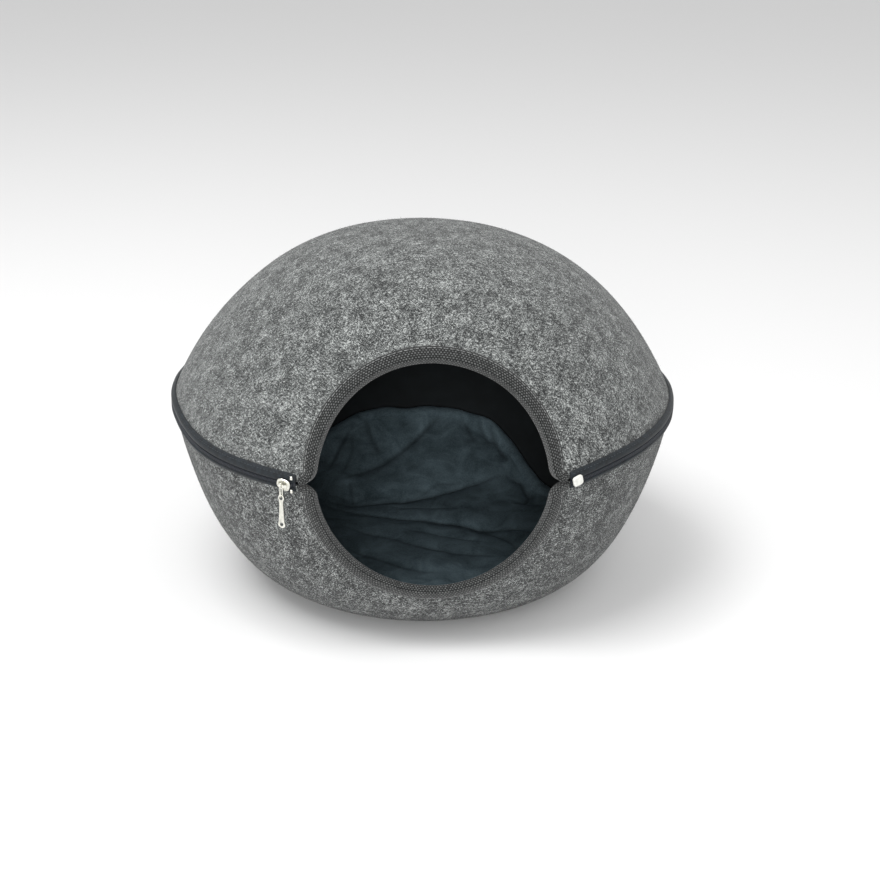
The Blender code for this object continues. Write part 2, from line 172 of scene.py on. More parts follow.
def dye(tree: Tree, shader: bpy.types.Node, value: Socket, *stops: tuple[float, str]) -> None:
    """Give a shader the colours of some stops along a value."""
    tree.links.new(ramp(tree, value, stops), shader.inputs["Base Color"])


def shader_tree(name: str, **values: object) -> tuple[bpy.types.Material, Tree,
                                                      bpy.types.Node]:
    """A new material with its Principled shader's constant values set.

    Args:
        name: The material's name.
        values: Values by input name, with underscores for spaces.

    Returns:
        The material, its tree and its shader node.
    """
    made = bpy.data.materials.new(name)
    made.use_nodes = True
    shader = made.node_tree.nodes["Principled BSDF"]
    for key, value in values.items():
        shader.inputs[key.replace("_", " ")].default_value = value
    return made, made.node_tree, shader


def bump(tree: Tree, shader: bpy.types.Node, height: Socket, strength: float,
         distance: float) -> None:
    """Roughen a shader's surface by a height, in metres at full strength."""
    node = add(tree, "ShaderNodeBump", {"Height": height, "Strength": strength,
                                        "Distance": distance})
    tree.links.new(node.outputs["Normal"], shader.inputs["Normal"])


# ---------------------------------------------------------------- finishes

# Ways that the felt's fibres run in, spread about evenly
FIBRE_WAYS: tuple[tuple[float, float, float], ...] = (
    (1, 0.2, 0.1), (0.15, 1, -0.1), (-0.2, 0.1, 1), (0.8, -0.2, 0.55), (-0.5, 0.2, 0.8),
    (0.45, 0.75, 0.5), (-0.6, 0.7, 0.35), (0.5, -0.6, 0.65), (-0.9, -0.3, 0.35))


@dataclass(frozen=True)
class NeedledFelt:
    """Needle-punched wool-look felt, moulded: heather of dark and pale fibres, quite matt.

    Fibres run many ways through the felt; at each place only the ones that lie nearly in
    the surface are drawn, as crossing streaks.
    """

    name: str = "needle_punched_heather_felt"
    stops: tuple = ((0.0, "131415"), (0.30, "343636"), (0.5, "555756"), (0.72, "767978"),
                    (1.0, "A6A9A7"))
    fibre_wide: float = 0.62 * MM   # real fibres are 0.03 mm; drawn as the tufts that show
    fibre_long: float = 7.0 * MM
    lie_flat: float = 3.0           # how strongly fibres that stand up are left out
    patch: float = 12.5 * MM
    bends: float = 110.0            # bends of the fibres in a metre
    curl: float = 5.0 * MM
    grains: float = 780.0           # fine grains in a metre
    contrast: float = 3.0
    cloud: float = 0.85
    grit: float = 1.35
    # Shift of the whole colour; the bowl's larger shift is painted shade
    lean: float = -0.055
    relief: float = 0.45 * MM

    def streaks(self, tree: Tree, place: Socket, normal: Socket) -> Socket:
        """Sum the fibres of every way, each weighted by how flat it lies in the surface.

        Args:
            tree: The node tree.
            place: The felt's coordinates, bent so that the fibres curl.
            normal: The way that the surface faces.

        Returns:
            The sum, which swings about zero.
        """
        total = None
        for number, way in enumerate(FIBRE_WAYS):
            along = Vector(way).normalized()
            turn = along.rotation_difference(Vector((0, 0, 1))).to_euler("XYZ")
            turned = add(tree, "ShaderNodeVectorRotate", {
                "Vector": place, "Rotation": tuple(turn)}, rotation_type="EULER_XYZ")
            scaled = add(tree, "ShaderNodeMapping", {
                "Vector": turned.outputs[0], "Location": (number * 3.7, number * 1.9, 0.0),
                "Scale": (1 / self.fibre_wide, 1 / self.fibre_wide, 1 / self.fibre_long)})
            fibres = noise(tree, scaled.outputs[0], 1.0, 1.5, 0.6, 0.5)
            slope = add(tree, "ShaderNodeVectorMath", {0: normal, 1: tuple(along)},
                        operation="DOT_PRODUCT").outputs["Value"]
            flat = maths(tree, "SUBTRACT", 1.0, maths(tree, "MULTIPLY", slope, slope))
            streak = centred(tree, fibres, maths(tree, "POWER", flat, self.lie_flat))
            total = streak if total is None else maths(tree, "ADD", total, streak)
        return total

    def make(self) -> bpy.types.Material:
        """Build the material.

        Returns:
            The material.
        """
        made, tree, shader = shader_tree(self.name, Roughness=0.95, Sheen_Weight=0.12,
                                         Sheen_Roughness=0.6, IOR=1.45,
                                         Specular_IOR_Level=0.2)
        place = object_place(tree)
        normal = add(tree, "ShaderNodeNewGeometry").outputs["True Normal"]
        bend = add(tree, "ShaderNodeTexNoise", {"Vector": place, "Scale": self.bends,
                                                "Detail": 1.0})
        offset = add(tree, "ShaderNodeVectorMath", {0: bend.outputs["Color"],
                                                    "Scale": self.curl}, operation="SCALE")
        curled = add(tree, "ShaderNodeVectorMath", {0: place, 1: offset.outputs["Vector"]},
                     operation="ADD")
        total = self.streaks(tree, curled.outputs["Vector"], normal)
        clouds = centred(tree, noise(tree, place, 1 / self.patch, 3.0, 0.62), self.cloud)
        grit = centred(tree, noise(tree, place, self.grains, 2.0, 0.7), self.grit)
        value = maths(tree, "MULTIPLY_ADD", total, self.contrast * 0.5, 0.5 + self.lean)
        value = maths(tree, "ADD", maths(tree, "ADD", value, clouds), grit)
        dye(tree, shader, value, *self.stops)
        bump(tree, shader, value, 0.5, self.relief)
        return made


@dataclass(frozen=True)
class LiningCloth:
    """Dyed plain-weave polyester lining: near black slate, matt, with a fine even grain."""

    name: str = "slate_plain_weave_lining"
    dark: str = "0D1012"
    light: str = "191E20"
    clouds: float = 55.0
    threads: float = 1400.0
    relief: float = 0.25 * MM

    def make(self) -> bpy.types.Material:
        """Build the material.

        Returns:
            The material.
        """
        made, tree, shader = shader_tree(self.name, Roughness=0.9, Sheen_Weight=0.15,
                                         IOR=1.5, Specular_IOR_Level=0.3)
        place = object_place(tree)
        cloud = noise(tree, place, self.clouds, 4.0)
        grain = noise(tree, place, self.threads, 1.0)
        both = maths(tree, "MULTIPLY_ADD", grain, 0.35, cloud)
        dye(tree, shader, both, (0.3, self.dark), (0.95, self.light))
        bump(tree, shader, grain, 0.3, self.relief)
        return made


@dataclass(frozen=True)
class BrushedPlush:
    """Brushed short-pile polyester: dark slate, soft, with painted shade along its creases."""

    name: str = "brushed_slate_plush"
    dark: str = "2E3A3F"
    light: str = "5C6C73"
    # Colour factor of the painted crease shade where the cloth is creased most
    painted_crease_shade: float = 0.5
    sheen: str = "8FA6B4"
    clouds: float = 38.0
    tufts: float = 700.0
    relief: float = 0.6 * MM

    def make(self) -> bpy.types.Material:
        """Build the material.

        Returns:
            The material.
        """
        made, tree, shader = shader_tree(self.name, Roughness=0.85, Sheen_Weight=0.10,
                                         Sheen_Roughness=0.5, Sheen_Tint=linear(self.sheen),
                                         IOR=1.5, Specular_IOR_Level=0.15)
        place = object_place(tree)
        cloud = noise(tree, place, self.clouds, 5.0, 0.6, 0.9)
        pile = noise(tree, place, self.tufts, 2.0)
        both = maths(tree, "MULTIPLY_ADD", pile, 0.45, cloud)
        colour = ramp(tree, both, ((0.45, self.dark), (0.95, self.light)))
        # Painted shade: the crease attribute darkens the colour along the creases
        crease = add(tree, "ShaderNodeAttribute", attribute_name="crease").outputs["Fac"]
        shade = maths(tree, "MULTIPLY_ADD", crease, self.painted_crease_shade - 1.0, 1.0)
        darker = add(tree, "ShaderNodeVectorMath", {0: colour, "Scale": shade},
                     operation="SCALE")
        tree.links.new(darker.outputs["Vector"], shader.inputs["Base Color"])
        bump(tree, shader, both, 0.5, self.relief)
        return made


@dataclass(frozen=True)
class KnittedTape:
    """Weft-knitted polyester tape: grey loops in rows, each loop light, with painted shade in the
    gap between loops.
    """

    name: str = "grey_knitted_tape"
    dark: str = "070808"
    mid: str = "181A1A"
    light: str = "6C6E6D"
    loop_long: float = 2.6 * MM
    row: float = 2.0 * MM          # real loops are 1.2 mm; drawn coarser so that they show
    wear: float = 1.5
    relief: float = 0.5 * MM

    def make(self) -> bpy.types.Material:
        """Build the material.

        Returns:
            The material.
        """
        made, tree, shader = shader_tree(self.name, Roughness=0.88, Sheen_Weight=0.25,
                                         IOR=1.45, Specular_IOR_Level=0.3)
        along, across = cloth_place(tree)
        row = maths(tree, "DIVIDE", across, self.row)
        odd = maths(tree, "MODULO", maths(tree, "FLOOR", row), 2.0)
        step = maths(tree, "MULTIPLY_ADD", odd, 0.5,
                     maths(tree, "DIVIDE", along, self.loop_long))
        # Painted shade: the gaps between the loops go near black
        loops = maths(tree, "MULTIPLY", ridges(tree, step), ridges(tree, row))
        worn = centred(tree, noise(tree, object_place(tree), 620.0, 3.0, 0.65), self.wear)
        value = maths(tree, "ADD", maths(tree, "MULTIPLY", loops, 0.8), worn)
        dye(tree, shader, value, (0.0, self.dark), (0.4, self.mid), (1.0, self.light))
        bump(tree, shader, value, 0.7, self.relief)
        return made


@dataclass(frozen=True)
class WovenZipTape:
    """Herringbone polyester zip tape: dark slate with a slight sheen along the threads."""

    name: str = "slate_woven_zip_tape"
    dark: str = "080C0F"
    light: str = "1D252B"
    thread: float = 1.5 * MM       # real threads are 0.3 mm; drawn coarser
    relief: float = 0.25 * MM

    def make(self) -> bpy.types.Material:
        """Build the material.

        Returns:
            The material.
        """
        made, tree, shader = shader_tree(self.name, Roughness=0.7, Sheen_Weight=0.08,
                                         IOR=1.5, Specular_IOR_Level=0.3)
        slant = maths(tree, "ADD", *cloth_place(tree))
        rib = maths(tree, "SINE", maths(tree, "MULTIPLY", slant, 2 * math.pi / self.thread))
        fibres = noise(tree, object_place(tree), 260.0, 4.0)
        value = maths(tree, "MULTIPLY_ADD", rib, 0.12, fibres)
        dye(tree, shader, value, (0.3, self.dark), (0.8, self.light))
        bump(tree, shader, value, 0.4, self.relief)
        return made


@dataclass(frozen=True)
class Plain:
    """A smooth finish with slight wear: moulded nylon, plated zinc, thread or plastic."""

    name: str
    dark: str
    light: str
    roughness: float
    metallic: float = 0.0
    grain: float = 700.0
    relief: float = 0.05 * MM
    ior: float = 1.5

    def make(self) -> bpy.types.Material:
        """Build the material.

        Returns:
            The material.
        """
        made, tree, shader = shader_tree(self.name, Metallic=self.metallic, IOR=self.ior)
        wear = noise(tree, object_place(tree), self.grain, 3.0)
        dye(tree, shader, wear, (0.3, self.dark), (0.7, self.light))
        tree.links.new(maths(tree, "MULTIPLY_ADD", wear, 0.2, self.roughness - 0.1),
                       shader.inputs["Roughness"])
        bump(tree, shader, wear, 0.25, self.relief)
        return made


# The dome's felt
DOME_FELT = NeedledFelt()
# The bowl's felt: the same heather with more contrast, painted darker as shade on the lower half
BOWL_FELT = NeedledFelt("needle_punched_heather_felt_painted_shade", contrast=4.8, cloud=1.3, grit=2.6,
                        lean=-0.2)
# Moulded nylon coil: near black blue, a faint gloss on each tooth
NYLON_COIL = Plain("moulded_nylon_coil", "0B0E13", "20262F", 0.4)
# Nickel-plated zinc die casting: warm silver, bright with small dull patches
NICKEL = Plain("nickel_plated_zinc", "C2C1B8", "F0EFE6", 0.25, 1.0, 250.0)
# Moulded acetal: clean white, softly glossy
ACETAL = Plain("white_moulded_acetal", "C6C6C0", "DADAD5", 0.35, 0.0, 350.0)
# Spun polyester thread of the bindings: grey, slightly glossy
THREAD = Plain("grey_spun_thread", "5E6060", "8E908E", 0.6)
# Spun polyester thread, dyed with the zip: near black slate
DARK_THREAD = Plain("slate_spun_thread", "181B1F", "33373D", 0.6)
# Loose fibres standing from the felt: pale and mid grey
FIBRE = Plain("loose_felt_fibre", "464646", "8F8F8B", 0.9, 0.0, 300.0, 0.0)


# ---------------------------------------------------------------- the cave's form

@dataclass
class Meridian:
    """One half's outline from the seam to its pole, sampled finely.

    (r / seam_radius)^round_power + (z / height)^crown_power = 1, cut flat at cut.
    """

    side: Side
    height: float
    round_power: float
    crown_power: float
    seam_radius: float
    cut: Optional[float] = None
    seam_turn: float = 25 * MM
    foot_round: float = 16 * MM
    count: int = 900
    fine: int = 1600

    def __post_init__(self) -> None:
        """Sample the outline, its lengths and its normals."""
        top = math.pi / 2
        if self.cut is not None:
            top = math.asin((self.cut / self.height) ** (self.crown_power / 2))
        turn = np.linspace(0.0, top, self.count)
        radius = self.seam_radius * np.cos(turn) ** (2 / self.round_power)
        rise = self.height * np.sin(turn) ** (2 / self.crown_power)
        if self.cut is None:
            radius[-1] = 0.0
        else:
            flat = np.linspace(radius[-1], 0.0, self.count)[1:]
            radius = np.append(radius, flat)
            rise = np.append(rise, np.full(self.count - 1, self.cut))
        length = run_length(np.hypot(np.diff(radius), np.diff(rise)))
        even = np.linspace(0.0, length[-1], self.fine)
        radius, rise = np.interp(even, length, radius), np.interp(even, length, rise)
        run_r, run_z = np.gradient(radius), np.gradient(rise)
        size = np.hypot(run_r, run_z)
        normal_r, normal_z = run_z / size, -run_r / size
        if self.cut is not None:
            width = int(self.foot_round / even[1])
            kernel = np.hanning(width | 1)
            kernel /= kernel.sum()
            pad = width // 2
            normal_z = np.convolve(np.pad(normal_z, pad, mode="edge"), kernel, "valid")
            normal_r = np.sqrt(np.maximum(0.0, 1.0 - normal_z ** 2))
        normal_r[-1], normal_z[-1] = 0.0, 1.0
        tilt = normal_z * np.minimum(1.0, even / self.seam_turn)
        seam = even < self.seam_turn
        normal_r[seam] = (1.0 - tilt[seam] * normal_z[seam]) / normal_r[seam]
        normal_z[seam] = tilt[seam]
        self.length, self.radius, self.rise = even, radius, rise
        self.normal_r, self.normal_z = normal_r, normal_z
        self.total = float(even[-1])
        self.top = float(rise[-1])
        self.base = self.total
        if self.cut is not None:
            self.base = float(np.interp(self.cut - 1e-6, rise, even))

    def at(self, length: Array, out: Array = 0.0) -> tuple[Array, Array]:
        """Where places on the half are.

        Args:
            length: Lengths from the seam.
            out: Distances out from the outer felt face.

        Returns:
            Radii, and heights from the seam with their sign.
        """
        radius, rise, normal_r, normal_z = (
            np.interp(length, self.length, row)
            for row in (self.radius, self.rise, self.normal_r, self.normal_z))
        return radius + out * normal_r, self.side.value * (rise + out * normal_z)

    def length_at(self, rise: float) -> float:
        """Length from the seam at a height from it, on the wall."""
        count = int(np.argmax(self.rise >= self.top - 1e-9)) + 1
        return float(np.interp(rise, self.rise[:count], self.length[:count]))

    def radius_at(self, rise: float) -> float:
        """Outer radius at a height from the seam."""
        return float(self.at(self.length_at(rise))[0])


@dataclass
class CaveForm:
    """Sizes that every piece shares, and where a place on a half is in the world."""

    total_height: float = 0.330
    zip_height: float = 0.1776
    seam_radius: float = 0.2321
    felt: float = 4.5 * MM
    lining: float = 1.2 * MM
    lining_gap: float = 0.1 * MM
    sag_left: tuple = ((14.8 * MM, 1.24, 9), (1.5 * MM, 0.50, 6))
    sag_right: tuple = ((14.5 * MM, 0.98, 2), (4.8 * MM, 0.60, 6))
    sag_blend: float = 0.35
    open_half_width: float = 99.5 * MM
    open_up: float = 87.3 * MM
    open_down: float = 115.2 * MM
    lip: float = 0.5 * MM
    corner: float = 12.0 * MM
    bind_width: float = 11.5 * MM
    bind_corner_width: float = 8.2 * MM
    zip_end: float = math.radians(29.4)
    wobble: float = 0.7 * MM
    waves: tuple = ((1.0, 3, 1.3, 0.6), (0.7, 5, -1.9, 2.1), (0.5, 8, 2.6, 4.0),
                    (0.35, 13, -4.1, 1.1))
    samples: int = 3000
    dome: Meridian = field(init=False)
    bowl: Meridian = field(init=False)

    def __post_init__(self) -> None:
        """Make the two outlines."""
        self.dome = Meridian(Side.DOME, self.total_height - self.zip_height, 2.496, 1.212,
                             self.seam_radius)
        self.bowl = Meridian(Side.BOWL, 0.1873, 5.008, 1.224, self.seam_radius,
                             cut=self.zip_height)

    def half(self, side: Side) -> Meridian:
        """The outline of one half."""
        return self.dome if side is Side.DOME else self.bowl

    def sag(self, angle: Array) -> Array:
        """How far the seam hangs below its height at the back; further on the left.

        Args:
            angle: Angles round the cave.

        Returns:
            Distances down.
        """
        turn = (angle + math.pi) % (2 * math.pi) - math.pi
        left, right = (sum(size * np.exp(-((np.abs(turn) / wide) ** power))
                           for size, wide, power in humps)
                       for humps in (self.sag_left, self.sag_right))
        share = np.clip(0.5 + turn / (2 * self.sag_blend), 0.0, 1.0)
        return left + (right - left) * share * share * (3 - 2 * share)

    def uneven(self, angle: Array, height: Array) -> Array:
        """Slight hand-pressed unevenness of the moulded wall.

        Args:
            angle: Angles round the cave.
            height: Heights from the seam.

        Returns:
            Changes of radius, which fade out at the crown, the base and the seam.
        """
        waves = sum(size * np.sin(turns * angle + rise * (height / 0.1) + start)
                    for size, turns, rise, start in self.waves)
        share = 1 - np.minimum(1.0, np.abs(height) / 0.165) ** 4
        return self.wobble * waves * np.maximum(0.0, share) * np.minimum(
            1.0, np.abs(height) / 0.04 + 0.15)

    def place(self, angle: Array, radius: Array, height: Array) -> Array:
        """World points of places round the cave.

        Args:
            angle: Angles.
            radius: Radii.
            height: Heights from the seam, before it sags.

        Returns:
            The points, as rows of x, y and z.
        """
        angle, radius, height = np.broadcast_arrays(angle, radius, height)
        reach = np.where(height > 0, self.dome.top, self.bowl.top)
        share = np.maximum(0.0, 1.0 - np.abs(height) / reach)
        z = self.zip_height + height - self.sag(angle) * share * share
        r = radius + self.uneven(angle, height) * np.minimum(1.0, radius / 0.08)
        return np.stack([r * np.sin(angle), -r * np.cos(angle), z], axis=-1)

    def edge(self, side: Side, corner_steps: int, arch_steps: int) -> Array:
        """The edge of the way in on one half, from the left corner to the right.

        Args:
            side: The half.
            corner_steps: Steps round each small corner.
            arch_steps: Steps from a corner to the middle.

        Returns:
            Rows of angle, length from the seam and tape width.
        """
        half = self.half(side)
        reach = self.open_up if side is Side.DOME else self.open_down
        rise = self.lip + (reach - self.lip) * np.linspace(0, 1, self.samples) ** 1.6
        wide = self.open_half_width * np.sqrt(np.maximum(0, 1 - (rise / reach) ** 2))
        low = np.maximum(0.0, 1 - (rise - self.lip) / self.corner)
        wide = wide + self.corner * (1 - np.sqrt(np.maximum(0, 1 - low ** 2)))
        along = run_length(np.hypot(np.diff(wide), np.diff(rise)))
        turn = 1.55 * self.corner       # nearly a quarter circle round the corner
        cuts = np.concatenate([np.linspace(0, turn, corner_steps, endpoint=False),
                               np.linspace(turn, along[-1], arch_steps + 1)])
        x, z = np.interp(cuts, along, wide), np.interp(cuts, along, rise)
        radius = np.array([half.radius_at(v) for v in z])
        length = np.array([half.length_at(v) for v in z])
        grow = np.minimum(1.0, cuts / 0.03)
        tape = self.bind_corner_width + (self.bind_width - self.bind_corner_width) * grow
        right = np.stack([np.arcsin(x / radius), length, tape], axis=1)
        left = right * np.array([-1.0, 1.0, 1.0])
        return np.concatenate([left, right[-2::-1]])

    def edge_sides(self, side: Side, loop: Array, closed: bool) -> tuple[Array, Array]:
        """Which way the felt lies from an edge.

        Args:
            side: The half.
            loop: Rows of the edge, as edge gives them.
            closed: Whether the last row is beside the first.

        Returns:
            Unit directions into the felt, round the cave and along the meridian, and the
            radius at each row.
        """
        half = self.half(side)
        radius = half.at(loop[:, 1])[0]
        if closed:
            turn = np.array([2 * math.pi, 0.0, 0.0])
            after = np.vstack([loop[1:], loop[:1] + turn])
            before = np.vstack([loop[-1:] - turn, loop[:-1]])
        else:
            after = np.vstack([loop[1:], loop[-1:] + [0.01, 0, 0]])
            before = np.vstack([loop[:1] - [0.01, 0, 0], loop[:-1]])
        step = np.stack([(after[:, 0] - before[:, 0]) * radius, after[:, 1] - before[:, 1]],
                        axis=1)
        step /= np.linalg.norm(step, axis=1)[:, None]
        return np.stack([-step[:, 1], step[:, 0]], axis=1), radius


# ---------------------------------------------------------------- mesh helpers

def run_length(steps: Array) -> Array:
    """How far along a line each of its points is, from the lengths of its steps."""
    return np.append(0.0, np.cumsum(steps))


def mm(*sizes: float) -> tuple[float, ...]:
    """Sizes given in millimetres, in metres."""
    return tuple(size * MM for size in sizes)


def band(first: int, second: int, count: int) -> list[tuple[int, ...]]:
    """Faces between two closed rows of points, given the number of each row's first."""
    return [(first + j, first + (j + 1) % count, second + (j + 1) % count, second + j)
            for j in range(count)]


def fan(first: int, tip: int, count: int) -> list[tuple[int, ...]]:
    """Faces between a closed row of points and a single point."""
    return [(first + j, first + (j + 1) % count, tip) for j in range(count)]


def in_scene(name: str, data: Optional[bpy.types.ID]) -> bpy.types.Object:
    """A new object in the scene, with its data."""
    made = bpy.data.objects.new(name, data)
    bpy.context.scene.collection.objects.link(made)
    return made


def store(mesh: bpy.types.Mesh, name: str, rows: Array, kind: str = "FLOAT") -> None:
    """Keep values by point on a mesh, as a named attribute of a kind."""
    layer = mesh.attributes.new(name, kind, "POINT")
    key = "vector" if kind == "FLOAT_VECTOR" else "value"
    layer.data.foreach_set(key, np.asarray(rows, np.float32).ravel())


def new_piece(name: str, points: Array, faces: Sequence, finish: bpy.types.Material,
              flat: Optional[Array] = None) -> bpy.types.Object:
    """A smooth mesh object with outward faces.

    Args:
        name: The piece's name.
        points: World points.
        faces: Corner numbers of each face, all turned the same way.
        finish: Its material.
        flat: Flat cloth coordinates by point, for the pattern, if any.

    Returns:
        The object.
    """
    mesh = bpy.data.meshes.new(name)
    mesh.from_pydata([tuple(p) for p in points], [], faces)
    mesh.materials.append(finish)
    mesh.shade_smooth()
    if flat is not None:
        layer = mesh.uv_layers.new(name="cloth")
        corners = np.zeros(len(mesh.loops), np.int32)
        mesh.loops.foreach_get("vertex_index", corners)
        layer.uv.foreach_set("vector", flat[corners].astype(np.float32).ravel())
    face_out(mesh)
    return in_scene(name, mesh)


def face_out(mesh: bpy.types.Mesh) -> None:
    """Turn a closed mesh's faces outwards if its volume comes out negative.

    Args:
        mesh: The mesh, with its faces all turned the same way.
    """
    mesh.calc_loop_triangles()
    volume = 0.0
    points = [v.co for v in mesh.vertices]
    for tri in mesh.loop_triangles:
        a, b, c = (points[i] for i in tri.vertices)
        volume += a.dot(b.cross(c))
    if volume < 0:
        mesh.flip_normals()


def sweep(name: str, sections: Array, finish: bpy.types.Material) -> bpy.types.Object:
    """A solid through equal closed outlines, with cloth coordinates in metres.

    Args:
        name: The piece's name.
        sections: Array of sections by outline points by three.
        finish: Its material.

    Returns:
        The object.
    """
    count, size = sections.shape[:2]
    along = run_length(np.linalg.norm(np.diff(sections.mean(axis=1), axis=0), axis=1))
    across = run_length(np.linalg.norm(np.diff(sections[count // 2], axis=0), axis=1))
    flat = np.stack(np.broadcast_arrays(along[:, None], across[None, :]), axis=-1)
    faces = [face for k in range(count - 1) for face in band(k * size, (k + 1) * size, size)]
    faces.append(tuple(range(size - 1, -1, -1)))
    faces.append(tuple(range((count - 1) * size, count * size)))
    made = new_piece(name, sections.reshape(-1, 3), faces, finish, flat.reshape(-1, 2))
    made.data.set_sharp_from_angle(angle=math.radians(55))
    return made


def cloth_area(piece: bpy.types.Object) -> float:
    """Half of a closed sheet's surface, which is the area of its cloth."""
    return sum(face.area for face in piece.data.polygons) / 2


def cloth_long(piece: bpy.types.Object) -> float:
    """Length in metres of a swept cloth along its run, from its cloth coordinates."""
    return max(corner.uv.x for corner in piece.data.uv_layers["cloth"].data)


def on_root(piece: bpy.types.Object, slot: str, *nodes: str) -> bpy.types.Object:
    """Ride a piece on the cave, hide the CAD nodes that it replaces and log its face count.

    Args:
        piece: The piece.
        slot: A material slot name; not used.
        nodes: The CAD nodes that it replaces, if any.

    Returns:
        The piece.
    """
    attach(piece, "root")
    if nodes:
        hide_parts(*nodes)
    LOG.info("%s: %d faces", piece.name, len(piece.data.polygons))
    return piece


# ---------------------------------------------------------------- repeats by Geometry Nodes

def kept_value(tree: Tree, name: str, kind: str) -> Socket:
    """A named attribute's value, in a geometry tree."""
    node = add(tree, "GeometryNodeInputNamedAttribute", {"Name": name}, data_type=kind)
    return node.outputs["Attribute"]


def grow(name: str, guide: bpy.types.Object, finish: bpy.types.Material,
         sizes: dict[str, float],
         spread: Callable[[Tree, bpy.types.Node], Socket]) -> bpy.types.Object:
    """Run a new geometry tree on a guide, and keep what it makes as a plain mesh.

    Args:
        name: The piece's name.
        guide: The object that the tree starts from; it is dropped afterwards.
        finish: The material of what is made.
        sizes: Values of the tree's named inputs; a whole number makes an integer input.
        spread: Adds the tree's own nodes, given its input node, and returns the instances.

    Returns:
        The plain mesh object.
    """
    tree = bpy.data.node_groups.new(name, "GeometryNodeTree")
    face = tree.interface
    face.new_socket("Geometry", in_out="INPUT", socket_type="NodeSocketGeometry")
    keys = {}
    for label, value in sizes.items():
        kind = "NodeSocketInt" if isinstance(value, int) else "NodeSocketFloat"
        keys[face.new_socket(label, in_out="INPUT", socket_type=kind).identifier] = value
    face.new_socket("Geometry", in_out="OUTPUT", socket_type="NodeSocketGeometry")
    many = spread(tree, add(tree, "NodeGroupInput"))
    real = add(tree, "GeometryNodeRealizeInstances", {"Geometry": many})
    painted = add(tree, "GeometryNodeSetMaterial", {"Geometry": real.outputs["Geometry"],
                                                    "Material": finish})
    add(tree, "NodeGroupOutput", {"Geometry": painted.outputs["Geometry"]})
    run = guide.modifiers.new("grow", "NODES")
    run.node_group = tree
    for key, value in keys.items():
        run[key] = value
    graph = bpy.context.evaluated_depsgraph_get()
    mesh = bpy.data.meshes.new_from_object(guide.evaluated_get(graph))
    guide.modifiers.clear()
    bpy.data.objects.remove(guide, do_unlink=True)
    mesh.name = name
    return in_scene(name, mesh)


@dataclass
class Repeat:
    """Small rounded grains set on guide points, each turned and sized as its point says."""

    name: str
    finish: bpy.types.Material
    sides: int = 8
    rings: int = 5

    def build(self, points: Array, turns: Array, sizes: Array) -> bpy.types.Object:
        """Set a grain on every guide point.

        Args:
            points: Guide points.
            turns: Euler angles by point.
            sizes: Half sizes along each grain's own axes, by point.

        Returns:
            The plain mesh object.
        """
        mesh = bpy.data.meshes.new(self.name)
        mesh.from_pydata([tuple(p) for p in points], [], [])
        store(mesh, "turn", turns, "FLOAT_VECTOR")
        store(mesh, "size", sizes, "FLOAT_VECTOR")
        return grow(self.name, in_scene(self.name + "_guide", mesh), self.finish,
                    {"Sides": self.sides, "Rings": self.rings}, self.grains)

    @staticmethod
    def grains(tree: Tree, start: bpy.types.Node) -> Socket:
        """Add the nodes that set the grains.

        Args:
            tree: The geometry tree.
            start: Its input node.

        Returns:
            The grains' instances.
        """
        ball = add(tree, "GeometryNodeMeshUVSphere", {
            "Segments": start.outputs["Sides"], "Rings": start.outputs["Rings"],
            "Radius": 1.0})
        smooth = add(tree, "GeometryNodeSetShadeSmooth", {"Geometry": ball.outputs["Mesh"]})
        spin = add(tree, "FunctionNodeEulerToRotation", {
            "Euler": kept_value(tree, "turn", "FLOAT_VECTOR")})
        cloud = add(tree, "GeometryNodeMeshToPoints", {"Mesh": start.outputs["Geometry"]})
        return add(tree, "GeometryNodeInstanceOnPoints", {
            "Points": cloud.outputs["Points"], "Instance": smooth.outputs["Geometry"],
            "Rotation": spin.outputs["Rotation"],
            "Scale": kept_value(tree, "size", "FLOAT_VECTOR")}).outputs["Instances"]


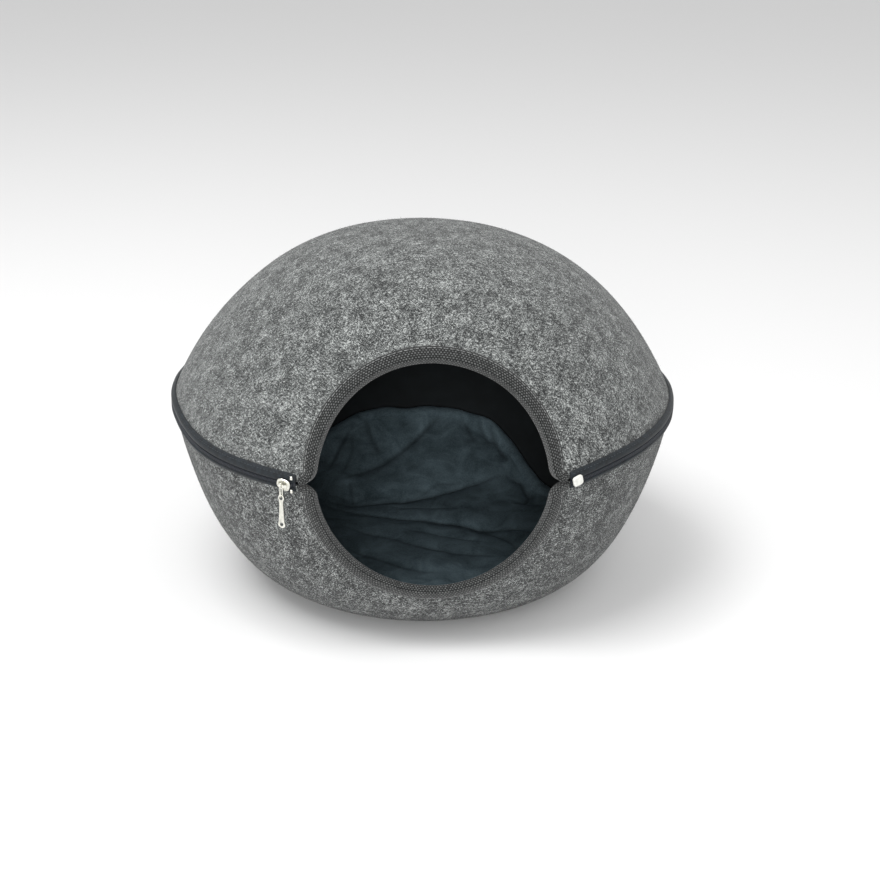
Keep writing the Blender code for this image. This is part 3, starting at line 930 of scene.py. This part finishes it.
@dataclass
class LooseFibres:
    """Short fibres standing from a felt wall, so that its outline is soft."""

    density: float = 42000.0
    long: float = 2.6 * MM
    thick: float = 0.07 * MM
    lean: float = 1.25
    shortest: float = 0.35
    seed: int = 7

    def build(self, name: str, wall: bpy.types.Object,
              finish: bpy.types.Material) -> bpy.types.Object:
        """Scatter the fibres on a wall's outer face.

        Args:
            name: The piece's name.
            wall: The felt wall; its "outer" attribute says where fibres grow.
            finish: Their material.

        Returns:
            The plain mesh object.
        """
        return grow(name, in_scene(name + "_guide", wall.data.copy()), finish,
                    {"Density": self.density, "Length": self.long, "Thickness": self.thick,
                     "Seed": self.seed}, self.fibres)

    def fibres(self, tree: Tree, start: bpy.types.Node) -> Socket:
        """Add the nodes that scatter the fibres.

        Args:
            tree: The geometry tree.
            start: Its input node.

        Returns:
            The fibres' instances.
        """
        outer = add(tree, "FunctionNodeCompare", {0: kept_value(tree, "outer", "FLOAT"),
                                                  1: 0.99},
                    data_type="FLOAT", operation="GREATER_THAN")
        spread = add(tree, "GeometryNodeDistributePointsOnFaces", {
            "Mesh": start.outputs["Geometry"], "Selection": outer.outputs["Result"],
            "Density": start.outputs["Density"], "Seed": start.outputs["Seed"]})
        blade = add(tree, "GeometryNodeMeshCone", {
            "Vertices": 3, "Side Segments": 1, "Radius Top": 0.0,
            "Radius Bottom": start.outputs["Thickness"], "Depth": start.outputs["Length"]},
            fill_type="NONE")
        tilt = add(tree, "FunctionNodeRandomValue", {
            0: (-self.lean, -self.lean, 0.0), 1: (self.lean, self.lean, 6.28), "Seed": 3},
            data_type="FLOAT_VECTOR")
        turned = add(tree, "FunctionNodeEulerToRotation", {"Euler": tilt.outputs[0]})
        both = add(tree, "FunctionNodeRotateRotation", {
            "Rotation": spread.outputs["Rotation"], "Rotate By": turned.outputs["Rotation"]},
            rotation_space="LOCAL")
        size = add(tree, "FunctionNodeRandomValue", {2: self.shortest, 3: 1.0, "Seed": 5},
                   data_type="FLOAT")
        return add(tree, "GeometryNodeInstanceOnPoints", {
            "Points": spread.outputs["Points"], "Instance": blade.outputs["Mesh"],
            "Rotation": both.outputs["Rotation"],
            "Scale": size.outputs[1]}).outputs["Instances"]


# ---------------------------------------------------------------- felt halves and linings

@dataclass
class Wall:
    """One half's felt wall with its lining, as closed shells made on one grid."""

    form: CaveForm
    side: Side
    corner_steps: int = 8
    arch_steps: int = 36
    seam_steps: int = 150
    rows: int = 46
    edge_insets: tuple = (1.2 * MM, 4.7 * MM, 7.7 * MM)
    edge_soft: float = 0.45

    def grid(self) -> list[Array]:
        """Lines round the half, from its edge towards its pole.

        Returns:
            For each line, rows of angle and length from the seam.
        """
        form, half = self.form, self.form.half(self.side)
        opening = form.edge(self.side, self.corner_steps, self.arch_steps)
        start = opening[-1]
        turn = 2 * math.pi - 2 * start[0]
        steps = np.arange(1, self.seam_steps) / self.seam_steps
        seam = np.stack([start[0] + turn * steps, np.full(len(steps), start[1]),
                         np.full(len(steps), start[2])], axis=1)
        loop = np.vstack([opening, seam])
        sides, radius = form.edge_sides(self.side, loop, True)
        count = len(loop)
        share = np.arange(count) / count
        arch = len(opening) // 2
        spread = run_length(np.hypot(np.diff(loop[:, 0]) * radius[1:], np.diff(loop[:, 1])))
        share = 0.45 * share + 0.55 * spread / (spread[-1] + spread[-1] / count)
        polar = (share - share[arch]) * 2 * math.pi
        lines = []
        for inset in self.edge_insets:
            lines.append(np.stack([loop[:, 0] + sides[:, 0] * inset / radius,
                                   loop[:, 1] + sides[:, 1] * inset], axis=1))
        last = lines[-1]
        for part in np.linspace(0, 1, self.rows + 1)[1:-1]:
            angle = last[:, 0] + (polar - last[:, 0]) * part
            lines.append(np.stack([angle, last[:, 1] + (half.total - last[:, 1]) * part],
                                  axis=1))
        return lines

    def build(self, name: str, outer: float, inner: float,
              finish: bpy.types.Material) -> bpy.types.Object:
        """A closed shell between two distances out from the outer felt face.

        Args:
            name: The piece's name.
            outer: Outer face's distance out.
            inner: Inner face's distance out.
            finish: Its material.

        Returns:
            The object, with an "outer" attribute that is one on its outer face.
        """
        half = self.form.half(self.side)
        lines = self.grid()
        count = len(lines[0])
        points, outs = [], []
        middle = (outer + inner) / 2
        for face, out in ((1.0, outer), (0.0, inner)):
            for row, line in enumerate(lines):
                pull = self.edge_soft if row == 0 else 0.0
                radius, height = half.at(line[:, 1], out + (middle - out) * pull)
                points.append(self.form.place(line[:, 0], radius, height))
                outs += [face if row > 1 else 0.0] * count
            radius, height = half.at(half.total, out)
            points.append(self.form.place(0.0, 0.0, height)[None])
            outs.append(face)
        layer = len(lines) * count + 1
        faces = []
        for base, way in ((0, 1), (layer, -1)):
            starts = [base + k * count for k in range(len(lines))]
            skin = [f for pair in zip(starts, starts[1:]) for f in band(*pair, count)]
            skin += fan(starts[-1], base + layer - 1, count)
            faces += [f[::way] for f in skin]
        faces += [(j, layer + j, layer + (j + 1) % count, (j + 1) % count)
                  for j in range(count)]
        made = new_piece(name, np.concatenate(points), faces, finish)
        store(made.data, "outer", outs)
        LOG.info("%s wall %.1f mm", name, (outer - inner) / MM)
        return made


# ---------------------------------------------------------------- binding

@dataclass
class Binding:
    """Knitted tape folded over the way in's edge on one half, with a row of stitches."""

    form: CaveForm
    side: Side
    tape: float = 1.0 * MM
    stand: float = 0.15 * MM
    corner_steps: int = 12
    arch_steps: int = 50
    stitch: float = 3.4 * MM
    stitch_gap: float = 1.4 * MM
    stitch_in: float = 2.0 * MM
    fold: float = 1.3 * MM
    fold_steps: int = 7

    def outline(self, tape_width: float) -> list[tuple[float, float]]:
        """The folded tape's cross-section.

        Args:
            tape_width: Width of its outer face.

        Returns:
            Distances into the felt and out from its face.
        """
        wall = self.form.felt + self.form.lining + 0.6 * MM
        top, bottom = self.stand + self.tape, -wall - self.tape
        fold = self.fold
        turns = [math.pi / 2 * k / (self.fold_steps - 1) for k in range(self.fold_steps)]
        line = [(tape_width, 0.05 * MM), (tape_width + 0.1 * MM, top * 0.6),
                (tape_width - 0.4 * MM, top)]
        line += [(tape_width * s, top + 0.25 * MM * math.sin(math.pi * s))
                 for s in (0.8, 0.6, 0.4, 0.25)]
        line += [(fold - fold * math.sin(turn), top - fold + fold * math.cos(turn))
                 for turn in turns]
        line += [(fold - fold * math.cos(turn), bottom + fold - fold * math.sin(turn))
                 for turn in turns]
        line += [(tape_width * 0.5, bottom), (tape_width, bottom),
                 (tape_width, bottom + self.tape), (self.tape, bottom + self.tape),
                 (self.tape, self.stand - 0.1 * MM)]
        return line

    def build(self, finish: bpy.types.Material) -> bpy.types.Object:
        """The folded tape from corner to corner.

        Args:
            finish: Its material.

        Returns:
            The object.
        """
        form, half = self.form, self.form.half(self.side)
        loop = form.edge(self.side, self.corner_steps, self.arch_steps)
        sides, radius = form.edge_sides(self.side, loop, False)
        sections = []
        for j, (angle, length, tape) in enumerate(loop):
            pucker = 1 + 0.10 * math.sin(j * 1.7) * math.sin(j * 0.61)
            rows = np.array(self.outline(tape))
            into, out = rows[:, 0], rows[:, 1]
            out = np.where(out > 0.5 * MM, out * pucker, out)
            r, z = half.at(length + sides[j, 1] * into, out)
            sections.append(form.place(angle + sides[j, 0] * into / radius[j], r, z))
        name = f"{self.side.name.lower()}_edge_tape"
        return sweep(name, np.array(sections), finish)

    def stitches(self, finish: bpy.types.Material) -> bpy.types.Object:
        """The row of stitches near the tape's outer edge.

        Args:
            finish: Their material.

        Returns:
            The plain mesh object.
        """
        form, half = self.form, self.form.half(self.side)
        loop = form.edge(self.side, 30, 400)
        sides, radius = form.edge_sides(self.side, loop, False)
        into = loop[:, 2] - self.stitch_in
        r, z = half.at(loop[:, 1] + sides[:, 1] * into, self.stand + self.tape + 0.12 * MM)
        line = form.place(loop[:, 0] + sides[:, 0] * into / radius, r, z)
        along = run_length(np.linalg.norm(np.diff(line, axis=0), axis=1))
        places = np.arange(3 * MM, along[-1] - 3 * MM, self.stitch + self.stitch_gap)
        at, ahead = (np.stack([np.interp(p, along, line[:, k]) for k in range(3)], axis=1)
                     for p in (places, places + MM))
        turns = [Vector(b - a).to_track_quat("X", "Z").to_euler() for a, b in zip(at, ahead)]
        sizes = np.tile([self.stitch / 2, 0.32 * MM, 0.28 * MM], (len(at), 1))
        name = f"{self.side.name.lower()}_edge_stitches"
        return Repeat(name, finish).build(at, np.array([tuple(t) for t in turns]), sizes)


# ---------------------------------------------------------------- zip


@dataclass
class Zip:
    """The zip round the middle: two tapes, a coil of teeth between them, its stitching."""

    form: CaveForm
    steps: int = 220
    pitch: float = 1.55 * MM
    stand: float = 0.25 * MM
    hem: float = 2.0 * MM
    taper: float = math.radians(2.2)
    tuck: float = 1.5 * MM
    ripple: float = 0.12 * MM
    end_gap: float = 0.012

    def near(self, height: float, out: float) -> tuple[float, float]:
        """An outline point beside the felt, at a height from the seam and a distance out."""
        half = self.form.dome if height > 0 else self.form.bowl
        return (half.radius_at(abs(height)) + out, height)

    def ring(self, name: str, outline: Sequence[tuple[float, float]], finish: bpy.types.Material,
             ripple: float = 0.0) -> bpy.types.Object:
        """A band round the back, from one side of the way in to the other.

        Args:
            name: The piece's name.
            outline: Radius and height of each corner of its cross-section.
            finish: Its material.
            ripple: How far its outer corners wander in and out.

        Returns:
            The object.
        """
        form = self.form
        turn = 2 * math.pi - 2 * form.zip_end
        share = np.linspace(0, 1, self.steps + 1)
        # Sections stand closer at the two ends, where the tapes tuck in
        share = share - 0.6 * np.sin(2 * math.pi * share) / (2 * math.pi)
        angles = form.zip_end + turn * share
        rows = np.array(outline)
        mid = rows[:, 0].mean()
        outward = np.clip((rows[:, 0] - mid) / MM, 0, 1)
        sections = []
        for angle in angles:
            wave = ripple * (math.sin(17 * angle) + 0.6 * math.sin(41 * angle + 1.0))
            from_end = min(angle - angles[0], angles[-1] - angle) / self.taper
            tuck = self.tuck * max(0.0, 1.0 - from_end) ** 2
            radius = rows[:, 0] + wave * outward - tuck * outward
            sections.append(form.place(angle, radius, rows[:, 1] * (1 - 0.06 * tuck / MM)))
        return sweep(name, np.array(sections), finish)

    def build(self, cloth: bpy.types.Material, nylon: bpy.types.Material,
              thread: bpy.types.Material) -> dict[str, bpy.types.Object]:
        """Build every piece of the zip.

        Args:
            cloth: Tape material.
            nylon: Tooth material.
            thread: Stitch material.

        Returns:
            The pieces by name.
        """
        near, hem, stand = self.near, self.hem, self.stand
        upper = [near(6.4 * MM, stand), near(7.0 * MM, 0.9 * MM), near(7.0 * MM, hem),
                 near(6.2 * MM, hem + 0.7 * MM), mm(234.5, 4.8), mm(234.8, 3.6),
                 mm(234.9, 2.4), mm(234.7, 1.6), mm(234.1, 1.2), mm(233.3, 1.2),
                 mm(232.7, 1.9), near(3.8 * MM, stand)]
        lower = [mm(232.8, -4.4), mm(233.5, -3.6), mm(234.4, -3.6), mm(234.9, -4.2),
                 mm(234.9, -5.2), mm(234.4, -6.6), near(-7.4 * MM, hem + 0.3 * MM),
                 near(-8.0 * MM, hem - 0.4 * MM), near(-8.0 * MM, 0.7 * MM),
                 near(-7.5 * MM, stand), near(-5.8 * MM, stand)]
        core = [mm(232.4, 1.8), mm(233.3, 0.9), mm(233.9, -1.7), mm(233.6, -3.6),
                mm(232.5, -4.4)]
        ripple = self.ripple
        return {"upper": self.ring("zip_upper_tape", upper, cloth, ripple),
                "lower": self.ring("zip_lower_tape", lower, cloth, ripple),
                "core": self.ring("zip_coil_cord", core, nylon),
                "teeth": self.teeth(nylon),
                "stitches": self.stitches(thread)}

    def round_seam(self, run: Repeat, rows: Sequence[tuple[float, float, float]],
                   step: float, half_size: tuple[float, float, float]) -> bpy.types.Object:
        """Set grains in rows along the zip.

        Args:
            run: The grains.
            rows: Radius, height and first grain's offset of each row.
            step: Distance from one grain to the next.
            half_size: Half sizes along the zip, outwards and upwards.

        Returns:
            The object.
        """
        first = self.form.zip_end + self.end_gap
        last = 2 * math.pi - self.form.zip_end - self.end_gap
        parts = []
        for radius, height, offset in rows:
            angles = np.arange(first + offset / radius, last, step / radius)
            none = np.zeros(len(angles))
            parts.append((self.form.place(angles, radius, height),
                          np.stack([none, none, angles], axis=1),
                          np.tile(half_size, (len(angles), 1))))
        return run.build(*(np.concatenate(part) for part in zip(*parts)))

    def teeth(self, nylon: bpy.types.Material) -> bpy.types.Object:
        """Meshed coil teeth: short upright loops, those of each side set between the other's."""
        rows = ((234.0 * MM, -0.65 * MM, 0.0), (234.0 * MM, -2.3 * MM, self.pitch / 2))
        return self.round_seam(Repeat("zip_coil_teeth", nylon, 8, 5), rows, self.pitch,
                               mm(0.56, 0.95, 1.25))

    def stitches(self, thread: bpy.types.Material) -> bpy.types.Object:
        """Two rows of machine stitches that hold the tapes to the felt."""
        rows = ((233.85 * MM, 5.8 * MM, 0.0), (234.2 * MM, -6.9 * MM, 0.0))
        return self.round_seam(Repeat("zip_tape_stitches", thread, 6, 4), rows, 3.6 * MM,
                               mm(1.25, 0.2, 0.22))


# ---------------------------------------------------------------- cushion

# Creases of the cushion's cloth, in plan: depth and half width in mm, then x, y in mm
CREASES: dict[str, tuple[float, float, tuple[tuple[float, float], ...]]] = {
    "diagonal": (6.5, 6.0, ((-75, 106), (-35, 126), (-2, 156), (21, 177), (32, 186))),
    "valley": (8.0, 7.0, ((-95, 66), (-67, 68), (-19, 72), (44, 94), (91, 110))),
    "lobe_end": (6.0, 6.0, ((91, 110), (108, 106), (114, 82), (104, 52))),
    "long": (6.5, 6.0, ((-97, 58), (-40, 36), (-1, 25), (48, 9), (104, -11))),
    "front_one": (4.0, 7.0, ((-80, 6), (-27, -25), (6, -46), (70, -72))),
    "front_two": (3.2, 6.5, ((-72, -48), (-24, -86), (14, -104))),
    "front_side": (2.6, 6.0, ((48, 9), (80, -30), (96, -62))),
    "back_left": (5.0, 5.0, ((-58, 192), (-49, 164), (-37, 138))),
    "back_right": (5.0, 5.0, ((43, 190), (56, 164), (62, 150))),
    "back_edge": (6.5, 6.0, ((71, 190), (82, 151), (96, 128))),
    "back_edge_fine": (4.0, 4.0, ((62, 188), (70, 160), (76, 146))),
    "left_flank": (5.0, 5.0, ((-93, 118), (-76, 150), (-60, 181))),
    "left_flank_fine": (3.5, 4.0, ((-78, 112), (-66, 142), (-66, 168))),
    "left_low": (3.5, 5.0, ((-66, 70), (-70, 102))),
    "middle_fine": (2.2, 4.0, ((2, 84), (20, 100), (52, 102))),
    "middle_low": (2.0, 4.0, ((-86, 78), (-50, 78), (-20, 80))),
    "lobe_fine": (2.0, 5.0, ((-30, 58), (10, 50), (40, 46))),
    "front_fine": (1.8, 5.0, ((-20, 0), (30, -24), (60, -36))),
}


@dataclass
class Cushion:
    """A slack round stuffed pad whose back part stands against the wall."""

    form: CaveForm
    floor: float = 6.4 * MM
    middle: float = 31.0 * MM
    side_gap: float = 6.6 * MM
    rim: float = 36.0 * MM
    back_rise: float = 52.0 * MM
    back_angle: float = math.radians(38.0)
    flat: float = 0.055
    rim_half: float = 8.0 * MM
    rim_soft: float = 6.0 * MM
    foot_round: float = 5.0 * MM
    foot_in: float = 9.0 * MM
    plump: float = 3.0 * MM
    fold_depth: float = 1.2
    columns: int = 420
    side_rows: int = 14
    rim_rows: int = 8
    top_rows: int = 130

    def rim_height(self, angle: Array) -> Array:
        """Height of the edge round the pad, scalloped where the cloth is gathered.

        Args:
            angle: Angles round the pad.

        Returns:
            Heights from the floor.
        """
        back = np.abs(angle % (2 * math.pi) - math.pi)
        rise = self.back_rise * np.exp(-((back / self.back_angle) ** 4))
        ripple = 0.6 * MM * np.sin(19 * angle + 0.7) + 0.4 * MM * np.sin(33 * angle)
        return self.rim + rise + ripple * (0.35 + rise / self.back_rise)

    def inside(self, height: Array, depth: float) -> Array:
        """The bowl's wall, moved inwards.

        Args:
            height: Heights from the floor.
            depth: How far inwards.

        Returns:
            Its radii there.
        """
        bowl = self.form.bowl
        radius, rise = bowl.at(np.linspace(0.0, bowl.base, 500), -depth)
        return np.interp(height, (self.form.zip_height + rise)[::-1], radius[::-1])

    def folds(self, x: Array, y: Array) -> tuple[Array, Array]:
        """How the creases draw the cloth in, at plan places.

        Args:
            x: Plan places across.
            y: Plan places from front to back.

        Returns:
            A depth, negative inwards, and the painted shade along the creases, from 0 to 1.
        """
        total, shade_mask = np.zeros_like(x), np.zeros_like(x)
        for depth, wide, line in CREASES.values():
            places = np.array(line) * MM
            steps = np.hypot(*np.diff(places, axis=0).T)
            along = run_length(steps)
            nearest = np.full(x.shape, np.inf)
            share = np.zeros_like(x)
            for k, size in enumerate(steps):
                ax, ay = places[k]
                dx, dy = (places[k + 1] - places[k]) / size
                t = np.clip((x - ax) * dx + (y - ay) * dy, 0, size)
                away = np.hypot(x - ax - dx * t, y - ay - dy * t)
                closer = away < nearest
                nearest = np.where(closer, away, nearest)
                share = np.where(closer, (along[k] + t) / along[-1], share)
            taper = np.clip(np.sin(math.pi * np.clip(share, 0.0, 1.0)) * 1.8 + 0.1, 0, 1)
            sharp = np.exp(-nearest / (wide * MM))
            broad = np.exp(-((nearest / (wide * 3.2 * MM)) ** 2))
            total = total - self.fold_depth * depth * MM * taper * (0.6 * sharp + 0.4 * broad)
            # Painted shade along each crease, stronger for deeper creases
            line_shade_mask = np.exp(-((nearest / (0.42 * wide * MM)) ** 2)) * taper
            shade_mask = np.maximum(shade_mask, line_shade_mask * min(1.0, depth / 5.0))
        return total, shade_mask

    def ripples(self, x: Array, y: Array, lift: Array) -> Array:
        """Small soft wrinkles all over, finer towards the gathered edge.

        Args:
            x: Plan places across.
            y: Plan places from front to back.
            lift: From 0 on the middle to 1 on the part that stands against the wall.

        Returns:
            Distances outwards.
        """
        u, v = x / 0.03, y / 0.03
        warp = np.sin(1.3 * u + 0.7 * v) + 0.6 * np.sin(2.1 * v - 0.8 * u + 1.0)
        soft = np.sin(1.9 * u + 0.9 * warp) * np.sin(1.4 * v + 1.2 * warp + 0.5)
        fine = np.sin(5.3 * u - 3.1 * v + 2.2 * warp) + np.sin(4.1 * v + 2.9 * u - 1.7 * warp)
        return 0.9 * MM * soft + (0.18 * MM + 0.45 * MM * lift) * fine

    def smooth_rows(self, angles: Array) -> tuple[list[tuple[Array, Array]], int]:
        """Rows of points up the pad's side and over its top, before it is creased.

        Args:
            angles: Angles of the points in each row.

        Returns:
            Each row's radii and heights, and the number of the top's first row.
        """
        low, high = self.floor + self.foot_round, self.rim_height(angles) - self.rim_soft
        foot = self.inside(np.full_like(angles, low), self.side_gap) - self.foot_in
        under = np.full_like(angles, self.floor)
        rows = [(np.full_like(angles, 0.05), under), (np.full_like(angles, 0.10), under),
                (foot, under)]
        for share in np.linspace(0, 1, self.side_rows):
            height = low + (high - low) * share
            rows.append((self.inside(height, self.side_gap), height))
        edge = rows[-1][0]
        for k in range(1, self.rim_rows):
            turn = math.pi * k / self.rim_rows
            rows.append((edge - self.rim_half + self.rim_half * np.cos(turn),
                         high + self.rim_soft * np.sin(turn)))
        inner = edge - 2 * self.rim_half
        start = len(rows)
        for share in np.linspace(1, 0, self.top_rows)[:-1]:
            radius = inner * share
            part = np.maximum(0.0, (radius - self.flat) / (inner - self.flat))
            rows.append((radius, self.middle + (high - self.middle) * part ** 1.8))
        return rows, start

    def crease(self, angles: Array, radius: Array, height: Array,
               ease: float) -> tuple[Array, Array]:
        """Fold and wrinkle one row.

        Args:
            angles: Angles of its points.
            radius: Their radii.
            height: Their heights from the floor.
            ease: From 0, left smooth, to 1, fully creased.

        Returns:
            World points, and the painted crease shade at each.
        """
        x, y = radius * np.sin(angles), -radius * np.cos(angles)
        if ease <= 0:
            return np.stack([x, y, height], axis=1), np.zeros_like(x)
        lift = np.clip((height - self.middle) / 0.05, 0, 1)
        depth, shade_mask = self.folds(x, y)
        push = (depth + self.ripples(x, y, lift)) * ease
        lean = lift * 0.8
        x = x - np.sin(angles) * push * lean
        y = y + np.cos(angles) * push * lean
        height = height + push * (1 - 0.45 * lift) + self.plump * ease * (1 - lift)
        return np.stack([x, y, height], axis=1), shade_mask * ease

    def build(self, finish: bpy.types.Material) -> bpy.types.Object:
        """The closed pad.

        Args:
            finish: Its material.

        Returns:
            The object, with a "crease" attribute of painted shade, which is one where it is
            creased most.
        """
        angles = 2 * math.pi * np.arange(self.columns) / self.columns
        rows, start = self.smooth_rows(angles)
        points, shade_masks = [], []
        for number, (radius, height) in enumerate(rows):
            ease = min(1.0, (number - start + 5) / 9)
            row, shade_mask = self.crease(angles, radius, height, ease)
            points.append(row)
            shade_masks.append(shade_mask)
        count = self.columns
        ends = [np.array([[0.0, 0.0, height]])
                for height in (self.floor, float(points[-1][:, 2].mean()))]
        starts = [k * count for k in range(len(points))]
        total = len(points) * count
        faces = [f for pair in zip(starts, starts[1:]) for f in band(*pair, count)]
        faces += [((j + 1) % count, j, total) for j in range(count)]
        faces += fan(starts[-1], total + 1, count)
        made = new_piece("slack_cushion", np.concatenate(points + ends), faces, finish)
        # The crease attribute is painted shade that darkens the plush along its creases
        store(made.data, "crease", np.concatenate(shade_masks + [np.zeros(1), shade_masks[-1][:1]]))
        return made


# ---------------------------------------------------------------- studio

@dataclass
class Studio:
    """Pale floor, soft light and the camera."""

    reach: float = 1.5
    rise: float = math.radians(19.0)
    turn: float = math.radians(-2.65)
    roll: float = 0.0137
    lens: float = 64.88
    aim: tuple[float, float] = (0.0166, -0.0539)
    centre: float = 0.1776
    floor_half: float = 12.0
    sky: float = 0.78
    # Name, place, size and power of each light
    lights: tuple = (("key", (-1.1, -0.8, 3.0), 1.8, 76.0),
                     ("fill", (1.5, -1.2, 2.8), 2.0, 12.0),
                     ("front", (-0.25, -2.8, 1.0), 0.9, 41.0))

    def floor(self) -> None:
        """A wide pale floor just under the base."""
        size = self.floor_half
        mesh = bpy.data.meshes.new("floor")
        mesh.from_pydata([(-size, -size, 0), (size, -size, 0), (size, size, 0),
                          (-size, size, 0)], [], [(0, 1, 2, 3)])
        made, _, _ = shader_tree("studio_floor", Base_Color=linear("DEDEDE"), Roughness=0.9)
        mesh.materials.append(made)
        in_scene("floor", mesh)

    def light(self, name: str, place: tuple[float, float, float], size: float,
              power: float) -> None:
        """A soft square light that looks at the cave.

        Args:
            name: Its name.
            place: Where it hangs.
            size: Its side.
            power: Its power in watts.
        """
        data = bpy.data.lights.new(name, "AREA")
        data.size, data.energy = size, power
        lamp = in_scene(name, data)
        lamp.location = place
        way = Vector((0, 0, 0.15)) - Vector(place)
        lamp.rotation_euler = way.to_track_quat("-Z", "Y").to_euler()

    def camera(self) -> None:
        """The camera, a little to the left of straight ahead and above."""
        spin = Matrix.Rotation(self.turn, 3, "Z")
        lift = Vector((0, 0, self.centre))
        eye = spin @ Vector((0, -math.cos(self.rise), math.sin(self.rise))) * self.reach
        aim = spin @ Vector((self.aim[0], 0, self.aim[1]))
        ahead = (aim - eye).normalized()
        right = ahead.cross(Vector((0, 0, 1))).normalized()
        up = right.cross(ahead)
        right, up = (right * math.cos(self.roll) + up * math.sin(self.roll),
                     up * math.cos(self.roll) - right * math.sin(self.roll))
        data = bpy.data.cameras.new("camera")
        data.lens, data.sensor_width = self.lens, 36.0
        data.clip_start = 0.05
        eyepiece = in_scene("camera", data)
        place = Matrix((right, up, -ahead)).transposed().to_4x4()
        place.translation = eye + lift
        eyepiece.matrix_world = place
        bpy.context.scene.camera = eyepiece

    def build(self) -> None:
        """Set the whole studio up."""
        self.floor()
        for lamp in self.lights:
            self.light(*lamp)
        world = bpy.data.worlds.new("studio")
        world.use_nodes = True
        back = world.node_tree.nodes["Background"]
        back.inputs["Color"].default_value = (1.0, 1.0, 1.0, 1.0)
        back.inputs["Strength"].default_value = self.sky
        bpy.context.scene.world = world
        bpy.context.scene.view_settings.view_transform = "Standard"
        self.camera()


# ---------------------------------------------------------------- the whole cave

@dataclass
class Cave:
    """Builds and dresses every piece."""

    form: CaveForm = field(default_factory=CaveForm)

    def halves(self, felts: dict[Side, bpy.types.Material], cloth: bpy.types.Material,
               fibre: bpy.types.Material) -> None:
        """The felt walls, their loose fibres and their linings.

        Args:
            felts: Each half's felt; the bowl's is painted darker as shade.
            cloth: The lining's material.
            fibre: The loose fibres' material.
        """
        form = self.form
        for side in Side:
            label = side.name.lower()
            wall = Wall(form, side)
            shell = on_root(wall.build(f"{label}_felt_shell", 0.0, -form.felt, felts[side]),
                            "felt", f"felt_{label}")
            fuzz = LooseFibres(seed=7 + side.value).build(f"{label}_loose_fibres", shell, fibre)
            on_root(fuzz, "felt")
            thin = Wall(form, side, corner_steps=6, arch_steps=24, seam_steps=110, rows=30)
            inner = form.felt + form.lining_gap
            lining = on_root(thin.build(f"{label}_inner_lining", -inner, -inner - form.lining,
                                        cloth), "lining_cloth", f"{label}_lining")

    def edges(self, knit: bpy.types.Material, thread: bpy.types.Material) -> None:
        """The bindings of the way in and their stitches.

        Args:
            knit: The tapes' material.
            thread: The stitches' material.
        """
        for side in Side:
            label = side.name.lower()
            binding = Binding(self.form, side)
            tape = on_root(binding.build(knit), "binding_tape", f"{label}_binding")
            row = on_root(binding.stitches(thread), "binding_tape")

    def fastening(self, woven: bpy.types.Material, nylon: bpy.types.Material,
                  thread: bpy.types.Material) -> None:
        """The zip's tapes, teeth and stitches.

        Args:
            woven: The tapes' material.
            nylon: The teeth's material.
            thread: The stitches' material.
        """
        made = Zip(self.form).build(woven, nylon, thread)
        on_root(made["upper"], "zip_tape", "zip_tape_upper")
        on_root(made["lower"], "zip_tape", "zip_tape_lower")
        on_root(made["teeth"], "zip_coil", "zip_chain")
        on_root(made["core"], "zip_coil")
        on_root(made["stitches"], "zip_tape")
        for key, rest in (("upper", "dome_felt_shell"), ("lower", "bowl_felt_shell")):
            cloth_long(made[key])
            cloth_area(made[key])

    def fittings(self, nickel: bpy.types.Material, acetal: bpy.types.Material) -> None:
        """Finish the small fittings, whose solids stay as they are."""
        for node in ("slider", "pull_link", "pull", "stop_upper", "stop_lower"):
            self.refinish(node, nickel)
        self.refinish("retainer_box", acetal)

    @staticmethod
    def refinish(node: str, finish: bpy.types.Material) -> None:
        """Give one CAD node its material.

        Args:
            node: The node's name.
            finish: The material.
        """
        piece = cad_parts[node]
        for held in piece.material_slots:
            held.material = finish
        if not piece.material_slots:
            piece.data.materials.append(finish)
        LOG.info("%s finished", node)

    def build(self) -> None:
        """Build everything in order."""
        # The bowl's felt is the dome's heather painted darker, as shade on the lower half
        felts = {Side.DOME: DOME_FELT.make(), Side.BOWL: BOWL_FELT.make()}
        cloth, plush = LiningCloth().make(), BrushedPlush().make()
        knit, woven = KnittedTape().make(), WovenZipTape().make()
        nylon, nickel, acetal = NYLON_COIL.make(), NICKEL.make(), ACETAL.make()
        thread, fibre = THREAD.make(), FIBRE.make()
        self.halves(felts, cloth, fibre)
        self.edges(knit, thread)
        self.fastening(woven, nylon, DARK_THREAD.make())
        pad = on_root(Cushion(self.form).build(plush), "cushion_cloth", "cushion")
        self.fittings(nickel, acetal)


def main() -> None:
    """Build the cave and the studio, and note the sizes."""
    logging.basicConfig(level=logging.INFO, format="%(name)s: %(message)s")
    Studio().build()
    Cave().build()


if __name__ == "__main__":
    main()
